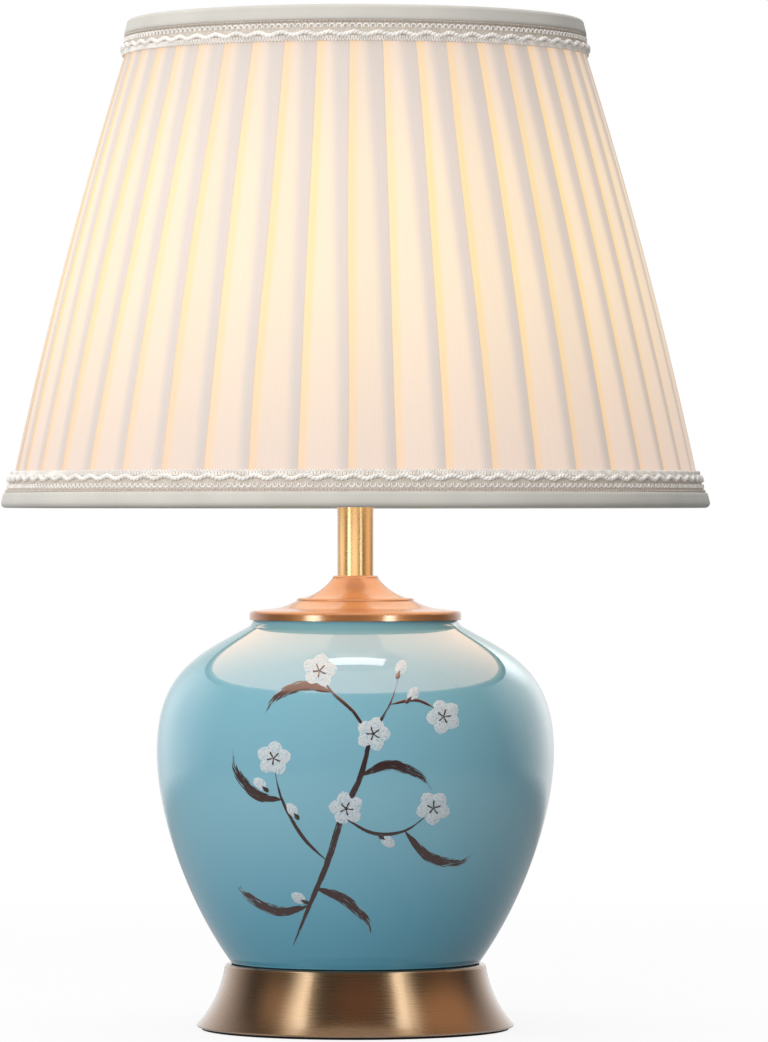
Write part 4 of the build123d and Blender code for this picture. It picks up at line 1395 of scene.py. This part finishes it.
    def make_strips(self, sizes):
        """Two strips for the brass, each brighter at one side. They lean in over the lamp, so that their
        mirror images stand upright on the flared foot."""
        brass = self.receivers("brass", "base_shell", "vase_cap", "neck_tube")
        strips = (
            ("strip_left", (-1.10, -1.18, 0.05), (-0.84, -0.04, 1.81), 0.48, 1.0),
            ("strip_right", (0.98, -1.28, 0.05), (0.75, -0.11, 1.85), 0.44, 0.0),
        )
        for name, foot, head, width, bright_side in strips:
            middle, rise = (Vector(foot) + Vector(head)) / 2, Vector(head) - Vector(foot)
            strip = softbox(name, middle, self.aim, width, rise.length, sizes.strip_power, "#F6FFF6")
            up = rise.normalized()
            away = (middle - up * middle.dot(up)).normalized()
            strip.rotation_euler = Matrix((up.cross(away), up, away)).transposed().to_euler()
            strip.light_linking.receiver_collection = brass
            tree = strip.data.node_tree
            face = add(tree, "ShaderNodeNewGeometry").outputs["Parametric"]
            across = add(tree, "ShaderNodeSeparateXYZ", {0: face}).outputs["X"]
            fade = add(
                tree,
                "ShaderNodeMapRange",
                {
                    "Value": across,
                    "From Min": 1 - bright_side,
                    "From Max": bright_side,
                    "To Min": 0.05,
                    "To Max": 1.6,
                },
                interpolation_type="SMOOTHSTEP",
            )
            feed(tree, tree.nodes["Emission"], {"Strength": fade})

    def make_panels(self, sizes, jar):
        """Soft-edged panels round the lamp, each for the piece that mirrors it: degrees to the right of the
        camera, height of its middle, its width and its own height, its share of the power, and its tint."""
        neck = self.receivers("neck", "neck_tube")
        foot = self.receivers("foot", "base_shell")
        rim = self.receivers("rim", "vase_cap")
        panels = (
            ("neck_front", neck, -4, 0.4, 1.8, 0.8, 3.2, "#FFF0DC"),
            ("neck_left", neck, -92, 0.4, 1.9, 0.8, 2.6, "#FFF0D8"),
            ("neck_right", neck, 90, 0.4, 2.1, 0.8, 2.3, "#FFD8B0"),
            ("neck_line", neck, -38, 0.4, 0.42, 1.0, 2.0, "#FFFFFF"),
            ("rim_left", rim, -47, 0.2, 0.5, 0.4, 1.2, "#F6FFE4"),
            ("rim_right", rim, 38, 0.2, 0.4, 0.4, 0.9, "#F6FFE4"),
            ("foot_front", foot, 4, 1.0, 1.8, 2.0, 0.5, "#FFB070"),
            ("foot_left", foot, -74, 1.0, 1.4, 2.0, 0.9, "#FFD9B0"),
            ("foot_right", foot, 92, 1.0, 2.4, 2.0, 2.2, "#FFCE9C"),
            ("jar_left", jar, -122, 0.4, 1.9, 2.0, 3.4, "#FFFFFF"),
            ("jar_right", jar, 130, 0.5, 2.3, 2.2, 6.4, "#FFFFFF"),
            ("jar_back", jar, 154, 0.9, 1.0, 1.0, 1.6, "#FFFFFF"),
        )
        away, soft_edged = 1.2, (1.6, 0.0)
        for name, receivers, turn, height, width, tall, share, tint in panels:
            place = around(turn, away, height)
            panel = softbox(name, place, self.aim, width, tall, sizes.panel_power * share, tint, soft_edged)
            panel.light_linking.receiver_collection = receivers
            panel.visible_diffuse = False
            panel.visible_camera = False

    def make_mouth(self, sizes, jar):
        """The light out of the shade's mouth, as the cap catches it and as the glaze mirrors it and is lit by
        it, and the glint on the jar's shoulder."""
        cap = self.receivers("cap", "vase_cap", "neck_tube")
        low, _ = shade_span()
        inside, width = 6 * MM, 0.32
        middle, down = (0, 0, low + inside), (0, 0, 0)
        above_cap = softbox(
            "mouth_cap", middle, down, width, width, 0.088 * sizes.mirror_power, "#FFF0DC", (1.3, 0.6)
        )
        above_cap.data.shape = "DISK"
        above_cap.visible_camera = False
        above_cap.light_linking.receiver_collection = cap
        mouths = (("mouth_jar", 0.9, "#FFCAB4", False), ("mouth_glow", 0.18, "#FFF4EC", True))
        for name, share, tint, matt in mouths:
            mouth = softbox(name, middle, down, width, width, share * sizes.mirror_power, tint)
            mouth.data.shape = "DISK"
            mouth.visible_camera = False
            mouth.visible_diffuse = matt
            mouth.visible_glossy = not matt
            mouth.light_linking.receiver_collection = jar
            tree = mouth.data.node_tree
            spot = add(tree, "ShaderNodeNewGeometry").outputs["Position"]
            depth = add(tree, "ShaderNodeSeparateXYZ", {0: spot}).outputs["Y"]
            half = width / 2
            level = add(
                tree,
                "ShaderNodeMapRange",
                {"Value": depth, "From Min": -half, "From Max": half, "To Min": 1.1, "To Max": 0.35},
            )
            feed(tree, tree.nodes["Emission"], {"Strength": level})
        place, shoulder = (-0.01, -0.055, 0.3), (-0.01, -0.09, 0.187)
        glint = softbox("glint", place, shoulder, 0.085, 0.024, 0.036 * sizes.mirror_power, "#FFF8FA")
        glint.visible_camera = False
        glint.visible_diffuse = False
        glint.light_linking.receiver_collection = jar

    def receivers(self, name, *pieces):
        """A collection of the pieces that a light falls on."""
        group = bpy.data.collections.new(name)
        for piece in pieces:
            group.objects.link(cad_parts.get(piece) or bpy.data.objects[piece])
        return group


class VIEW3D_PT_lamp(bpy.types.Panel):
    """Lists the steps that dress the lamp"""

    bl_label = "Porcelain Table Lamp"
    bl_space_type = "VIEW_3D"
    bl_region_type = "UI"
    bl_category = "Lamp"

    def draw(self, context):
        for step in STEPS:
            self.layout.operator(step.bl_idname)


STEPS = (
    LAMP_OT_brasswork,
    LAMP_OT_jar,
    LAMP_OT_holder,
    LAMP_OT_bindings,
    LAMP_OT_braids,
    LAMP_OT_cloth,
    LAMP_OT_stage,
)
GROUPS = {
    "lamp_shade": ShadeSizes,
    "lamp_trim": TrimSizes,
    "lamp_brushwork": BrushworkSizes,
    "lamp_stage": StageSizes,
    "lamp_finishes": Finishes,
}
CLASSES = (*GROUPS.values(), *STEPS, VIEW3D_PT_lamp)


def register():
    """Adds the operators, the panel and the sizes."""
    for kind in CLASSES:
        bpy.utils.register_class(kind)
    for name, group in GROUPS.items():
        setattr(bpy.types.Scene, name, PointerProperty(type=group))


def unregister():
    """Takes them away again."""
    for name in GROUPS:
        delattr(bpy.types.Scene, name)
    for kind in reversed(CLASSES):
        bpy.utils.unregister_class(kind)


def main():
    """Dresses the lamp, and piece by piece."""
    register()
    bpy.ops.lamp.brasswork()
    bpy.ops.lamp.jar()
    bpy.ops.lamp.holder()
    bpy.ops.lamp.bindings()
    bpy.ops.lamp.braids()
    bpy.ops.lamp.cloth()
    bpy.ops.lamp.stage()


if __name__ == "__main__":
    main()
